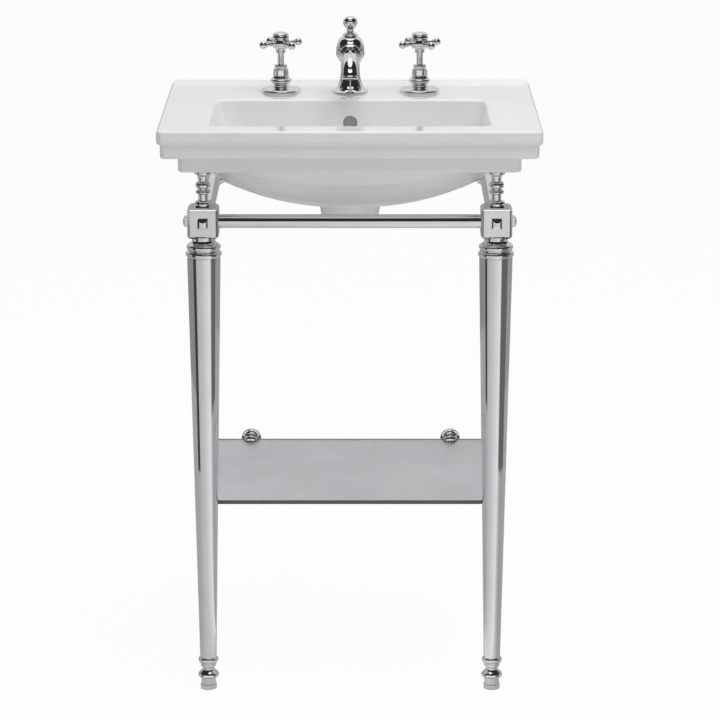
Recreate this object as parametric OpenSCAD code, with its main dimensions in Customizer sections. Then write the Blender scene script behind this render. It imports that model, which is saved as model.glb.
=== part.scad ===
// Console washstand: a rectangular china basin with a three-hole tap set and a
// pop-up waste, carried by two turned front legs and bolted to the wall behind.
// Frame: X to the right, Y from the front towards the wall, Z up from the floor.

/* [Basin] */
// Width of the basin, left to right
basin_w = 550; // [540:5:640]
// Depth of the basin, front to wall
basin_d = 430; // [425:5:480]
// Height of the rim above the floor
rim_h = 850; // [800:5:900]
// Height of the top band of the fascia
band1_h = 21; // [18:1:24]
// Height of the middle band of the fascia
band2_h = 20; // [16:1:24]
// Height of the bottom band of the fascia
band3_h = 24; // [20:1:30]
// Set-back of the middle band behind the top band
band2_in = 5; // [3:1:8]
// Set-back of the bottom band behind the middle band
band3_in = 24; // [18:1:26]
// Plan radius of the fascia corners
corner_r = 9; // [6:1:14]
// Rounding of the fascia's edges
edge_r = 4; // [2:0.5:6]
// Thickness of the deck
deck_t = 18; // [15:1:22]
// Wall thickness of the skirt
skirt_t = 12; // [10:1:16]
// Thickness of the back wall
back_t = 15; // [12:1:20]
// Height of the upstand along the wall
upstand_h = 4.5; // [3:0.5:10]
// Thickness of the upstand
upstand_t = 13; // [10:1:16]
// Distance between the two wall bolts
wall_bolt_pitch = 280; // [240:10:320]
// Radius of a wall bolt hole
wall_bolt_r = 7; // [5:0.5:8]
// Radius of the china seat above each leg
seat_r = 21; // [18:1:22]

/* [Bowl] */
// Distance of the bowl opening from each side of the basin
bowl_side = 73.5; // [71:0.5:85]
// Distance of the bowl opening from the wall
bowl_back = 156; // [151:1:168]
// Rim between the fascia and the bowl opening
front_rim = 47; // [45:1:52]
// Depth of the bowl at the waste
bowl_depth = 112; // [106:1:116]
// Depth at which the walls turn into the floor
wall_depth = 58; // [52:1:64]
// Lean of the bowl walls from upright
wall_lean = 13; // [8:1:15]
// How far the belly reaches past the bowl opening at each side
belly_side = 22.5; // [20.5:0.5:26.5]
// How far the belly reaches past the bowl opening in front and behind
belly_front = 15.5; // [13.5:0.5:16.5]
// Depth of the belly's widest level below the rim
belly_shoulder = 37; // [34:1:40]
// Depth of the belly's lowest point below the rim
belly_drop = 139; // [136:1:144]
// Radius of the overflow hole
overflow_r = 10.5; // [8:0.5:11]
// Depth of the overflow hole's centre below the rim
overflow_depth = 34; // [30:1:38]
// Width of the overflow channel
channel_w = 30; // [24:1:36]
// Share of the china thickness taken by the overflow channel
channel_share = 0.32; // [0.24:0.01:0.36]

/* [Tap holes] */
// Distance of the tap holes from the wall
tap_back = 87; // [80:1:92]
// Distance between the hot and cold valves
valve_pitch = 210; // [200:2:230]
// Radius of each tap hole
tap_hole_r = 14; // [13:0.5:15]

/* [Stand] */
// Distance of each leg axis from the basin's side
leg_in_x = 64; // [60:1:66]
// Distance of each leg axis from the basin's front
leg_in_y = 50; // [48:1:54]
// Side of the cube corner block
block_s = 45; // [40:1:50]
// Chamfer of the corner block
block_chamfer = 2.5; // [1:0.5:4]
// Height of the turned post between block and basin
post_h = 50; // [42:1:60]
// Thickness of the pad under the basin seat
seat_pad_t = 2; // [1:0.5:4]
// Radius of the pad under the basin seat
seat_pad_r = 11; // [9:0.5:12]
// Height of the turned collar under the block
collar_h = 30.3; // [26:0.1:36]
// Outer radius of the leg tube at the top
leg_r_top = 24.2; // [22:0.1:25]
// Outer radius of the leg tube at the bottom
leg_r_bottom = 12.2; // [11.6:0.1:13.4]
// Wall of the leg tube
leg_wall = 1.8; // [1.2:0.1:2.2]
// Height of the turned ankle under the tube
ankle_h = 33.5; // [32:0.5:38]
// Height of the levelling foot below the ankle
foot_show = 17.5; // [15:0.5:20]
// Radius of the levelling foot's base
foot_r = 12.2; // [11.6:0.1:16]
// Outer radius of the front towel rail
front_rail_r = 10; // [8:0.5:12]
// Outer radius of the side rails
side_rail_r = 12; // [10:0.5:13]
// Wall of the rails
rail_wall = 1.5; // [1:0.1:2]
// Length of rail held in a block
rail_grip = 10; // [7:0.5:11]
// Radius of the wall flanges
flange_r = 22; // [21:0.5:28]
// Thickness of the wall flanges
flange_t = 8; // [7:0.5:12]
// Radius of the circle of flange screw holes
flange_screw_ring = 17.2; // [17:0.1:18]
// Radius of a flange screw hole
flange_screw_r = 2.3; // [1.8:0.1:2.6]
// Width of the square caps on the blocks
cap_w = 15; // [12:0.5:18]
// Height of the square caps
cap_h = 7; // [5:0.5:9]

/* [Shelf] */
// Height of the shelf's upper face
shelf_z = 285; // [240:5:400]
// Thickness of the glass
glass_t = 6; // [5:0.5:8]
// How far the glass reaches past each leg's axis
glass_over = 9; // [7:0.5:12]
// Gap between the glass and the wall
glass_back = 15; // [14:0.5:20]
// Distance of the glass front edge behind the basin's front
glass_front = 71; // [69:0.5:74]
// Corner radius of the glass
glass_corner_r = 6; // [3:1:12]
// Distance between the two wall brackets
bracket_pitch = 314; // [260:2:360]
// Length of a wall bracket
bracket_l = 28; // [26:0.5:34]
// Radius of a bracket's wall end
bracket_r = 15.5; // [14:0.5:18]
// Radius of a bracket's jaw end
jaw_r = 10; // [9:0.1:12]
// Radius of a bracket's stud hole
stud_r = 4; // [3:0.1:4.5]
// Depth of a bracket's stud hole
stud_depth = 12; // [8:0.5:12.5]
// Radius of the rest pin in each leg
rest_r = 4; // [3:0.1:4.5]
// Thickness of the pad between rest and glass
rest_pad_t = 1.5; // [1:0.1:3]
// Distance of a rest's plate behind the leg axis
rest_out = 33; // [31:0.5:40]

/* [Valves] */
// Radius of the valve roses
rose_r = 30; // [24:0.5:34]
// Thickness of the valve roses
rose_t = 6.5; // [5:0.5:8]
// Height of the shroud's top above the deck
shroud_top = 42; // [38:0.5:48]
// Height of the handle's underside above the deck
handle_z = 60; // [54:0.5:66]
// Height of the cross handle's hub
hub_h = 26.5; // [24:0.5:30]
// Radius of the cross handle's hub
hub_r = 13; // [12:0.5:15]
// Distance of the ball ends from the handle's axis
arm_reach = 31; // [28:0.5:38]
// Radius of the ball ends
ball_end_r = 6; // [5:0.1:7]
// Turn of the cross arms when shut
arm_turn = 33; // [0:1:45]
// Radius of the visible valve stem
stem_r = 4.75; // [4.4:0.05:5.4]
// Radius of the valve body's threaded shank
shank_r = 12.5; // [11.8:0.1:12.8]
// Radius of the inlet tail
tail_r = 10.48; // [10:0.01:10.8]
// Length of the inlet tail
tail_l = 18; // [14:1:24]
// Depth of the cross pipe's axis below the deck top
pipe_drop = 54; // [52:1:60]
// Outer radius of the cross pipe
pipe_r = 5; // [4:0.1:5.5]

/* [Spout] */
// Radius of the bell at the foot of the spout
bell_r = 27; // [22:0.5:30]
// Radius of the spout's waist
waist_r = 14; // [13:0.5:16]
// Height of the waist above the deck
waist_z = 38; // [34:0.5:42]
// Radius of the urn
urn_r = 21.5; // [20:0.5:24]
// Height of the urn's widest level above the deck
urn_z = 59; // [56:0.5:62]
// Height of the spout body's top above the deck
spout_top = 84; // [80:0.5:92]
// Outer radius of the arm
arm_r = 12; // [11.5:0.1:13]
// Inner radius of the arm
arm_bore_r = 9; // [8.6:0.1:9.4]
// Length of the straight run of the arm from the spout's axis
arm_run = 76.5; // [60:0.5:90]
// Bend radius of the arm's elbow
elbow_r = 30; // [26:0.5:34]
// Angle of the elbow
elbow_angle = 80; // [70:1:88]
// Radius of the spout's threaded shank
spout_shank_r = 10; // [9.6:0.1:10.8]

/* [Waste] */
// Radius of the waste flange in the bowl
waste_flange_r = 32; // [30:0.5:34]
// Outer radius of the waste body
waste_r = 20.95; // [20:0.05:21.4]
// Wall of the waste body
waste_wall = 2; // [1.6:0.1:2.4]
// Radius of the china boss round the waste, at its top
boss_r = 45; // [42:0.5:48]
// Narrowing of the china boss towards its lower face
boss_taper = 4; // [2:0.5:6]
// Drop of the boss below the belly
boss_drop = 18; // [5:0.5:22]
// China left above the recess in the boss
waste_china = 20; // [18:0.5:20.5]
// Length of the waste body below the recess
waste_body_drop = 36; // [34:0.5:46]
// Height of the lever port above the end of the body
port_rise = 18; // [17:0.5:20]
// Distance of the lever's ball from the waste axis
ball_out = 26; // [25.5:0.1:27]
// Radius of the lever's ball
ball_r = 5; // [4.6:0.1:5.2]
// Radius of the lever rod
rod_r = 2.5; // [2:0.1:2.8]
// Slope of the lever at rest, down towards the lift rod
lever_tilt = 8; // [6:0.5:9]
// Travel of the plug
plug_travel = 5; // [4:0.5:6]
// Travel of the lift knob
knob_travel = 30; // [24:1:34]

/* [Fits] */
// Radial clearance of a slip or running fit
fit = 0.05; // [0.03:0.01:0.09]
// Radial clearance round the levelling foot
foot_gap = 0.3; // [0.2:0.05:0.5]
// Gap between moving faces that nearly touch
rest_gap = 0.3; // [0.25:0.05:0.5]

/* [Hidden] */
$fn = 64;

// Overshoot of every cut past the face it opens
over = 1;
// Wall left round small bores and at the end of blind ones
thin = 2;

// Levels and places that several pieces share
front_y = -basin_d / 2;
wall_y = basin_d / 2;
deck_under_z = rim_h - deck_t;
skirt_z = rim_h - band1_h - band2_h - band3_h;
skirt_in = band2_in + band3_in;
bowl_l = basin_w - 2 * bowl_side;
bowl_w = basin_d - front_rim - bowl_back;
bowl_y = front_y + front_rim + bowl_w / 2;
bowl_turn_z = rim_h - wall_depth;
bowl_floor_z = rim_h - bowl_depth;
bowl_turn_x = bowl_l / 2 - wall_depth * tan(wall_lean);
bowl_turn_y = bowl_w / 2 - wall_depth * tan(wall_lean);
belly_l = bowl_l + 2 * belly_side;
belly_w = bowl_w + 2 * belly_front;
belly_z = rim_h - belly_shoulder;
belly_bottom_z = rim_h - belly_drop;
boss_z = belly_bottom_z - boss_drop;
tap_y = wall_y - tap_back;
valve_x = valve_pitch / 2;
leg_x = basin_w / 2 - leg_in_x;
leg_y = front_y + leg_in_y;
post_z = skirt_z - seat_pad_t - post_h;
block_z = post_z - block_s / 2;
collar_z = post_z - block_s;
tube_top_z = collar_z - collar_h;
tube_bottom_z = foot_show + ankle_h;
shelf_under_z = shelf_z - glass_t;
glass_w = 2 * (leg_x + glass_over);
rest_plate_r = glass_over;
rest_pad_r = rest_plate_r - 1;

// Shape rules of the bowl and the belly
floor_power = 2.4;
rim_squareness = 20;
turn_squareness = 9;
floor_squareness = 2.6;
belly_squareness_low = 2.2;
belly_squareness_high = 4.6;
belly_squaring = 6;
slice_t = 0.2;
plan_steps = 48;
floor_steps = 8;
belly_steps = 9;

// Fixings of the stand
post_stud_r = 6;
collar_stud_r = 9;
stud_grip = 12;
collar_spigot_l = 18;
cap_stud_r = 3;
cap_stud_l = 8;
flange_socket = 6;
ankle_spigot_l = 15;
foot_stud_r = 4;
foot_stud_l = 28;
foot_neck_r = 10.9;
foot_base_h = 8;
foot_bore = 7;

// Fixings of the taps
washer_t = 2.5;
nut_t = 8;
nut_bite = 4.5;
port_r = 7.5;
port_out = 21;
pipe_wall = 1;
pipe_grip = 8;
pipe_nut_l = 10;
pipe_nut_r = 9;
nose_h = 5.5;
nose_r = 9.6;
head_r = 7.4;
cartridge_r = 8;
waterway_r = 6.5;
body_end = pipe_drop + 12;
cartridge_end = pipe_drop + 8;
spindle_r = 3.9;
screw_r = 2.4;
handle_web_z = handle_z + 15;
web_t = 2;
screw_head_r = 4.5;
screw_head_h = 3;
cap_socket_r = 7;
stem_shoulder = 5;

// Fixings of the spout
chamber_r = 8;
arm_z = urn_z + 1;
arm_socket = chamber_r + 3.5;
arm_ring_t = 3.5;
aerator_r = arm_bore_r + 1;
aerator_l = 7;
guide_r = 4.2;
shank_end = 46;
tee_top = 32;
tee_end = pipe_drop + 12;
tee_r = 13.5;
collar_top = spout_top + 6.7;
knob_z = collar_top + rest_gap;
knob_h = 24;
knob_r = 11;

// Levels of the waste
waste_y = bowl_y;
seal_t = 1;
waste_flange_t = 2.5;
waste_hole_r = waste_r + 1.55;
recess_z = bowl_floor_z - waste_china;
recess_r = waste_flange_r;
rebate_t = waste_flange_t + seal_t;
waste_end_z = recess_z - waste_body_drop;
port_z = waste_end_z + port_rise;
waste_washer_t = 2.5;
waste_nut_t = 6.5;
waste_nut_z = recess_z - waste_washer_t - waste_nut_t;
throat_r = waste_r - waste_wall - fit;
throat_wall = 1.9;
throat_l = 6.5;
slot_h = 6.5;
slot_w = 14;
slot_z = recess_z + 3;
tail_thread_l = 10;
relief = 0.75;
boss_port_r = 6.8;
port_lip = 1.5;
ball_nut_r = 7.8;
ball_y = waste_y + ball_out;

// Levels of the linkage
lever_reach = tap_y - ball_y;
lever_end = 8;
strap_hole_z = port_z - lever_reach * tan(lever_tilt);
eye_z = port_z + ball_out * tan(lever_tilt);
strap_w = 12;
strap_t = 2.5;
strap_hole_r = 3.4;
strap_hole_pitch = 12;
strap_holes = 4;
strap_end_z = strap_hole_z - 10;
clamp_h = 21;
clamp_top_z = rim_h - tee_end - knob_travel - 2;
clamp_z = clamp_top_z - clamp_h;
dome_r = 24;
dome_h = 5;
plug_z = bowl_floor_z + rest_gap + plug_travel;
plug_seal_t = 1.8;
plug_neck_r = 14;
plug_stem_r = 4.5;
eye_r = 3.3;
eye_t = 4;

bracket_screw_z = (glass_back + bracket_l) / 2;

china = "white";
polished = "silver";
brass = "goldenrod";
rubber = "dimgray";
glass = "lightslategray";

// ---- outlines ------------------------------------------------------------

// Rounded rectangle-like plan outline; a higher power makes squarer corners
function squircle(a, b, power) = [
    for (i = [0 : plan_steps - 1])
    let (t = 360 * i / plan_steps)
    [a * sign(cos(t)) * pow(abs(cos(t)), 2 / power),
     b * sign(sin(t)) * pow(abs(sin(t)), 2 / power)]
];

// Half-round bead that stands out from r0 to r1 between two heights
function bead(r0, r1, z0, z1, steps = 8) = [
    for (i = [0 : steps])
    let (a = 180 * i / steps)
    [r0 + (r1 - r0) * sin(a), (z0 + z1) / 2 - (z1 - z0) / 2 * cos(a)]
];

// S-curve between two radii that is upright at both ends
function ogee(r0, z0, r1, z1, steps = 8) = [
    for (i = [0 : steps])
    let (t = i / steps)
    [r0 + (r1 - r0) * (1 - cos(180 * t)) / 2, z0 + (z1 - z0) * t]
];

// Quarter curve that leaves level and arrives upright
function cove(r0, z0, r1, z1, steps = 6) = [
    for (i = [0 : steps])
    let (a = 90 * i / steps)
    [r0 + (r1 - r0) * sin(a), z0 + (z1 - z0) * (1 - cos(a))]
];

// Quarter curve that leaves upright and arrives level
function dome(r0, z0, r1, z1, steps = 6) = [
    for (i = [0 : steps])
    let (a = 90 * i / steps)
    [r0 + (r1 - r0) * (1 - cos(a)), z0 + (z1 - z0) * sin(a)]
];

// Outline without points that repeat the one before
function tidy(points) = [
    for (i = [0 : len(points) - 1])
    if (i == 0 || norm(points[i] - points[i - 1]) > 0.001) points[i]
];

// Solid of revolution about Z from an outline that runs up its outer side
module turned(points) {
    last = len(points) - 1;
    rotate_extrude()
        polygon(tidy(concat([[0, points[0][1]]], points, [[0, points[last][1]]])));
}

// Round bar or bore along Z between two heights
module bar(r, z0, z1) {
    translate([0, 0, z0]) cylinder(h = z1 - z0, r = r);
}

// Hexagonal nut round a bore
module hex_nut(r, bore_r, z0, t) {
    difference() {
        translate([0, 0, z0]) cylinder(h = t, r = r, $fn = 6);
        bar(bore_r, z0 - over, z0 + t + over);
    }
}

// Both mirror positions of a piece that stands at x on the right
module pair(x) {
    for (side = [-1, 1]) translate([side * x, 0, 0]) children();
}

// ---- basin ---------------------------------------------------------------

// Upright corner of a fascia band with rounded top and bottom edges
module band_corner(r, h, top_r, bottom_r) {
    turned(concat(cove(r - bottom_r, 0, r, bottom_r, 3), dome(r, h - top_r, r - top_r, h, 3)), $fn = 24);
}

// One band of the fascia, flush with the wall at the back
module band(inset, z0, h, top_r, bottom_r) {
    r = corner_r;
    back_r = edge_r;
    hull() {
        pair(basin_w / 2 - inset - r)
            translate([0, front_y + inset + r, z0]) band_corner(r, h, top_r, bottom_r);
        pair(basin_w / 2 - inset - back_r)
            translate([0, wall_y - back_r, z0]) band_corner(back_r, h, top_r, 0);
    }
}

// Thin level slice of the bowl or belly
module slice(a, b, power, z) {
    translate([0, bowl_y, z]) linear_extrude(slice_t) polygon(squircle(a, b, power));
}

// The hollow of the bowl: leaning walls down to a dished floor
module bowl_hollow() {
    hull() {
        slice(bowl_l / 2 + over * tan(wall_lean), bowl_w / 2 + over * tan(wall_lean),
              rim_squareness, rim_h + over);
        for (i = [0 : floor_steps]) {
            t = 90 * i / (floor_steps + 1);
            plan = pow(cos(t), 2 / floor_power);
            drop = pow(sin(t), 2 / floor_power);
            slice(bowl_turn_x * plan, bowl_turn_y * plan,
                  turn_squareness + (floor_squareness - turn_squareness) * drop,
                  bowl_turn_z - (bowl_turn_z - bowl_floor_z) * drop);
        }
        slice(waste_flange_r * 1.1, waste_flange_r * 1.05, 2, bowl_floor_z);
    }
}

// The belly: the outer form of the bowl below the deck
module belly() {
    hull() {
        for (i = [1 : belly_steps]) {
            t = 90 * i / belly_steps;
            slice(belly_l / 2 * sin(t), belly_w / 2 * sin(t),
                  belly_squareness_low
                  + (belly_squareness_high - belly_squareness_low) * pow(sin(t), belly_squaring),
                  belly_z - (belly_z - belly_bottom_z) * cos(t));
        }
        slice(belly_l / 2 + over, belly_w / 2 + over, belly_squareness_high, deck_under_z + over);
        slice(boss_r / 2, boss_r / 2, 2, belly_bottom_z);
    }
}

// Point in the china behind the bowl, as [distance from the bowl axis, height]
function channel_point(t, share) =
    [(bowl_turn_y * pow(cos(t), 2 / floor_power)) * (1 - share) + belly_w / 2 * cos(t) * share,
     (bowl_turn_z - (bowl_turn_z - bowl_floor_z) * pow(sin(t), 2 / floor_power)) * (1 - share)
     + (belly_z - (belly_z - belly_bottom_z) * sin(t)) * share];

// Overflow passage: hole, and a channel inside the china down to the waste
module overflow() {
    inner = (1 - channel_share) / 2;
    outer = (1 + channel_share) / 2;
    top_z = rim_h - overflow_depth + overflow_r;
    wall_top = bowl_w / 2 - (rim_h - top_z) * tan(wall_lean);
    angles = [0 : 15 : 75];
    end_in = channel_point(78, inner);
    end_out = channel_point(78, outer);
    rise = [[wall_top * (1 - inner) + belly_w / 2 * inner, top_z]];
    fall = [[wall_top * (1 - outer) + belly_w / 2 * outer, top_z]];
    translate([-channel_w / 2, bowl_y, 0]) rotate([90, 0, 90]) linear_extrude(channel_w)
        polygon(concat(
            rise, [for (t = angles) channel_point(t, inner)],
            [[waste_hole_r - over, end_in[1]], [waste_hole_r - over, end_out[1]]],
            [for (i = [5 : -1 : 0]) channel_point(15 * i, outer)], fall));
    translate([0, bowl_y + wall_top * 0.8, rim_h - overflow_depth]) rotate([-90, 0, 0])
        cylinder(h = wall_top * 0.2 + (belly_w / 2 - wall_top) / 2, r = overflow_r);
}

// Hole, rebate and recess that take the waste
module waste_seat() {
    translate([0, waste_y, 0]) {
        bar(waste_hole_r, boss_z - over, bowl_floor_z + over);
        bar(waste_flange_r + 1, bowl_floor_z - rebate_t, bowl_floor_z + over);
        bar(recess_r, boss_z - over, recess_z);
    }
    // way out for the lever through the back of the boss
    translate([-ball_nut_r - thin, waste_y, boss_z - over])
        cube([2 * (ball_nut_r + thin), boss_r + over, port_z + ball_nut_r + thin - boss_z + over]);
}

module basin() {
    color(china) difference() {
        union() {
            difference() {
                union() {
                    band(0, rim_h - band1_h, band1_h, edge_r, edge_r * 1.5);
                    band(band2_in, rim_h - band1_h - band2_h, band2_h + over, 0, edge_r);
                    band(skirt_in, skirt_z, band3_h + over, 0, edge_r);
                    translate([-basin_w / 2 + edge_r, wall_y - upstand_t, rim_h - over])
                        cube([basin_w - 2 * edge_r, upstand_t, upstand_h + over]);
                }
                translate([-basin_w / 2 + skirt_in + skirt_t, front_y + skirt_in + skirt_t, skirt_z - over])
                    cube([basin_w - 2 * (skirt_in + skirt_t),
                          basin_d - skirt_in - skirt_t - back_t, deck_under_z - skirt_z + over]);
            }
            belly();
            translate([0, waste_y, boss_z])
                cylinder(h = boss_drop + boss_r / 2, r1 = boss_r - boss_taper, r2 = boss_r + boss_taper);
            pair(leg_x) translate([0, leg_y, 0]) bar(seat_r, skirt_z, deck_under_z + over);
        }
        bowl_hollow();
        overflow();
        waste_seat();
        pair(valve_x) translate([0, tap_y, 0]) bar(tap_hole_r, deck_under_z - over, rim_h + over);
        translate([0, tap_y, 0]) bar(tap_hole_r, deck_under_z - over, rim_h + over);
        pair(wall_bolt_pitch / 2)
            translate([0, wall_y + over, (skirt_z + deck_under_z) / 2]) rotate([90, 0, 0])
            cylinder(h = back_t + 2 * over, r = wall_bolt_r);
    }
}

// ---- valves, drawn about the valve's axis with the deck at z = 0 ---------

module rose() {
    color(polished) difference() {
        turned(concat([[rose_r - 1, 0], [rose_r, 1]],
            dome(rose_r, rose_t * 0.5, rose_r * 0.75, rose_t, 5)));
        bar(shank_r + fit, -over, rose_t + over);
    }
}

module shroud() {
    base_r = hub_r + 1;
    ring_r = hub_r + 3;
    neck_z = shroud_top - 4;
    color(polished) difference() {
        turned(concat(
            cove(base_r, rose_t, base_r - 2.4, rose_t + 2.5, 4),
            ogee(base_r - 2.4, rose_t + 3.5, base_r - 0.6, rose_t + 6),
            bead(base_r - 0.6, ring_r, rose_t + 8, rose_t + 14),
            [[hub_r - 0.3, rose_t + 14.5], [stem_r + 5.3, neck_z - 0.5], [stem_r + 4.4, neck_z]],
            bead(stem_r + 4, stem_r + 4.6, neck_z, shroud_top, 4)));
        bar(nose_r + fit, rose_t - over, rose_t + nose_h + fit);
        bar(head_r + fit, rose_t, neck_z - 3);
        bar(stem_r + fit, 0, shroud_top + over);
    }
}

module valve_body() {
    color(brass) difference() {
        union() {
            bar(shank_r, -body_end, rose_t);
            bar(nose_r, 0, rose_t + nose_h);
            bar(tail_r, -body_end - tail_l, 0);
            translate([0, 0, -pipe_drop]) rotate([0, 90, 0]) bar(port_r, 0, port_out);
        }
        bar(cartridge_r + fit, -cartridge_end, rose_t + nose_h + over);
        bar(waterway_r, -body_end - tail_l - over, 0);
        translate([0, 0, -pipe_drop]) rotate([0, 90, 0]) {
            bar(pipe_r + fit, port_out - pipe_grip, port_out + over);
            bar(pipe_r - pipe_wall, 0, port_out);
        }
    }
}

module cartridge() {
    window = 4;
    color(brass) difference() {
        union() {
            bar(cartridge_r, -cartridge_end, rose_t + nose_h);
            bar(head_r, 0, shroud_top - 8);
        }
        bar(spindle_r + fit, -pipe_drop, shroud_top);
        bar(spindle_r + 1, -pipe_drop - window, -pipe_drop + window);
        translate([0, 0, -pipe_drop]) rotate([0, 90, 0]) bar(window, -2 * cartridge_r, 2 * cartridge_r);
        bar(spindle_r - 1, -cartridge_end - over, -pipe_drop);
    }
}

module spindle() {
    color(polished) difference() {
        union() {
            bar(spindle_r, -pipe_drop + 6, handle_web_z);
            bar(stem_r, shroud_top - stem_shoulder, handle_z);
        }
        bar(screw_r + fit, handle_z + 2, handle_web_z + over);
    }
}

module cross_handle(turn) {
    collar_r = stem_r + 1.9;
    collar_l = 6;
    arm_z = handle_z + 14;
    arm_root_r = 4.2;
    arm_neck_r = 2.9;
    hub_top = handle_z + hub_h;
    color(polished) difference() {
        union() {
            turned(concat(
                [[collar_r, handle_z], [collar_r, handle_z + collar_l]],
                cove(collar_r + 1, handle_z + collar_l, hub_r, handle_z + collar_l + 5, 5),
                [[hub_r, hub_top - 5]], dome(hub_r, hub_top - 5, hub_r - 2, hub_top, 4)));
            for (a = [0 : 90 : 270]) rotate([0, 0, turn + a]) translate([0, 0, arm_z]) {
                rotate([0, 90, 0]) translate([0, 0, hub_r - 5])
                    cylinder(h = arm_reach - ball_end_r / 2 - hub_r + 5, r1 = arm_root_r, r2 = arm_neck_r);
                translate([arm_reach, 0, 0]) sphere(r = ball_end_r);
            }
        }
        bar(spindle_r + fit, handle_z - over, handle_web_z);
        bar(screw_r + fit, handle_z, hub_top);
        bar(cap_socket_r + fit, handle_web_z + web_t, hub_top + over);
    }
}

module handle_screw() {
    color(polished) {
        bar(screw_r, handle_z + 4, handle_web_z + web_t);
        bar(screw_head_r, handle_web_z + web_t, handle_web_z + web_t + screw_head_h);
    }
}

module handle_cap() {
    hub_top = handle_z + hub_h;
    color(polished) {
        turned(concat([[hub_r - 1.2, hub_top]], dome(hub_r - 1, hub_top + 1, 0.5, hub_top + 5, 6)));
        bar(cap_socket_r, hub_top - 4, hub_top);
    }
}

// Stands a valve piece in its tap hole; the hot valve is on the left
module at_valve(side) {
    translate([side * valve_x, tap_y, rim_h]) children();
}

module hot_rose() { at_valve(-1) rose(); }
module hot_shroud() { at_valve(-1) shroud(); }
module hot_valve_body() { at_valve(-1) valve_body(); }
module hot_cartridge() { at_valve(-1) cartridge(); }
module hot_spindle() { at_valve(-1) spindle(); }
module hot_handle() { at_valve(-1) cross_handle(arm_turn); }
module hot_handle_screw() { at_valve(-1) handle_screw(); }
module hot_handle_cap() { at_valve(-1) handle_cap(); }
module cold_rose() { at_valve(1) rose(); }
module cold_shroud() { at_valve(1) shroud(); }
module cold_valve_body() { at_valve(1) rotate([0, 0, 180]) valve_body(); }
module cold_cartridge() { at_valve(1) cartridge(); }
module cold_spindle() { at_valve(1) spindle(); }
module cold_handle() { at_valve(1) cross_handle(arm_turn); }
module cold_handle_screw() { at_valve(1) handle_screw(); }
module cold_handle_cap() { at_valve(1) handle_cap(); }

// Flat ring under the deck
module under_washer(bore_r, r) {
    difference() {
        bar(r, -deck_t - washer_t, -deck_t);
        bar(bore_r, -deck_t - washer_t - over, -deck_t + over);
    }
}

module tap_washers() {
    color(rubber) {
        for (side = [-1, 1]) at_valve(side) under_washer(shank_r + fit, tap_hole_r + nut_bite);
        at_valve(0) under_washer(spout_shank_r + fit, tap_hole_r + nut_bite);
    }
}

module tap_nuts() {
    z0 = -deck_t - washer_t - nut_t;
    color(brass) {
        for (side = [-1, 1]) at_valve(side) hex_nut(shank_r + nut_bite + 2, shank_r + fit, z0, nut_t);
        at_valve(0) hex_nut(spout_shank_r + nut_bite + 2, spout_shank_r + fit, z0, nut_t);
    }
}

// Pipes that carry hot and cold water from the valves to the tee
module cross_pipes() {
    x0 = port_out - pipe_grip;
    x1 = valve_x - port_out + pipe_grip;
    color(polished) for (side = [-1, 1])
        at_valve(0) rotate([0, 0, 90 - 90 * side]) translate([0, 0, -pipe_drop]) rotate([0, 90, 0])
            difference() {
                bar(pipe_r, x0, x1);
                bar(pipe_r - pipe_wall, x0 - over, x1 + over);
            }
}

module pipe_nuts() {
    color(brass) for (side = [-1, 1], x = [port_out, valve_x - port_out - pipe_nut_l])
        at_valve(0) rotate([0, 0, 90 - 90 * side]) translate([0, 0, -pipe_drop]) rotate([0, 90, 0])
            hex_nut(pipe_nut_r, pipe_r + fit, x, pipe_nut_l);
}

// ---- spout, drawn about its axis with the deck at z = 0 ------------------

// Straight run and elbow of the arm, at one radius
module arm_path(r, start, stretch) {
    translate([0, 0, arm_z]) rotate([90, 0, 0]) bar(r, start, arm_run);
    translate([0, -arm_run, arm_z - elbow_r]) {
        rotate([180, -90, 0]) rotate_extrude(angle = elbow_angle) translate([elbow_r, 0]) circle(r = r);
        if (stretch > 0)
            rotate([elbow_angle, 0, 0]) translate([0, 0, elbow_r]) rotate([90, 0, 0]) bar(r, 0, stretch);
    }
}

// Places its children at the outlet, with z along the flow
module at_outlet() {
    translate([0, -arm_run, arm_z - elbow_r])
        rotate([elbow_angle, 0, 0]) translate([0, 0, elbow_r]) rotate([90, 0, 0]) children();
}

module spout_body() {
    color(polished) at_valve(0) difference() {
        union() {
            rotate([0, 0, 90]) turned(concat(
                [[bell_r, 0], [bell_r, 1.5]],
                cove(bell_r, 1.5, waist_r, waist_z, 10),
                ogee(waist_r, waist_z + 0.5, urn_r, urn_z),
                dome(urn_r, urn_z, waist_r - 2, spout_top, 10)));
            bar(spout_shank_r, -shank_end, 1);
            translate([0, 0, arm_z]) rotate([90, 0, 0]) rotate([0, 0, 90])
                bar(arm_r + arm_ring_t, 0, urn_r + arm_ring_t);
        }
        bar(chamber_r, -shank_end - over, arm_z + thin);
        bar(guide_r + fit, 0, spout_top + over);
        translate([0, 0, arm_z]) rotate([90, 0, 0]) {
            bar(arm_r + fit, arm_socket, arm_run);
            bar(arm_bore_r - thin, 0, arm_run);
        }
    }
}

// Arm brazed into the spout body, with a ring round its outlet
module spout_arm() {
    color(polished) at_valve(0) difference() {
        union() {
            arm_path(arm_r, arm_socket, 0);
            at_outlet() bar(arm_r + 1, -3.5, 0);
        }
        arm_path(arm_bore_r, arm_socket - over, over);
        at_outlet() bar(aerator_r + fit, -aerator_l, over);
    }
}

module spout_collar() {
    color(polished) at_valve(0) difference() {
        turned(concat(
            cove(knob_r, spout_top, knob_r - 1.5, spout_top + 1.5, 3),
            bead(knob_r - 1.5, knob_r + 0.4, spout_top + 1.5, spout_top + 4.2),
            dome(knob_r - 1.5, spout_top + 4.2, rod_r + 3, collar_top, 4)));
        bar(rod_r + fit, spout_top - over, collar_top + over);
    }
}

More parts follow.
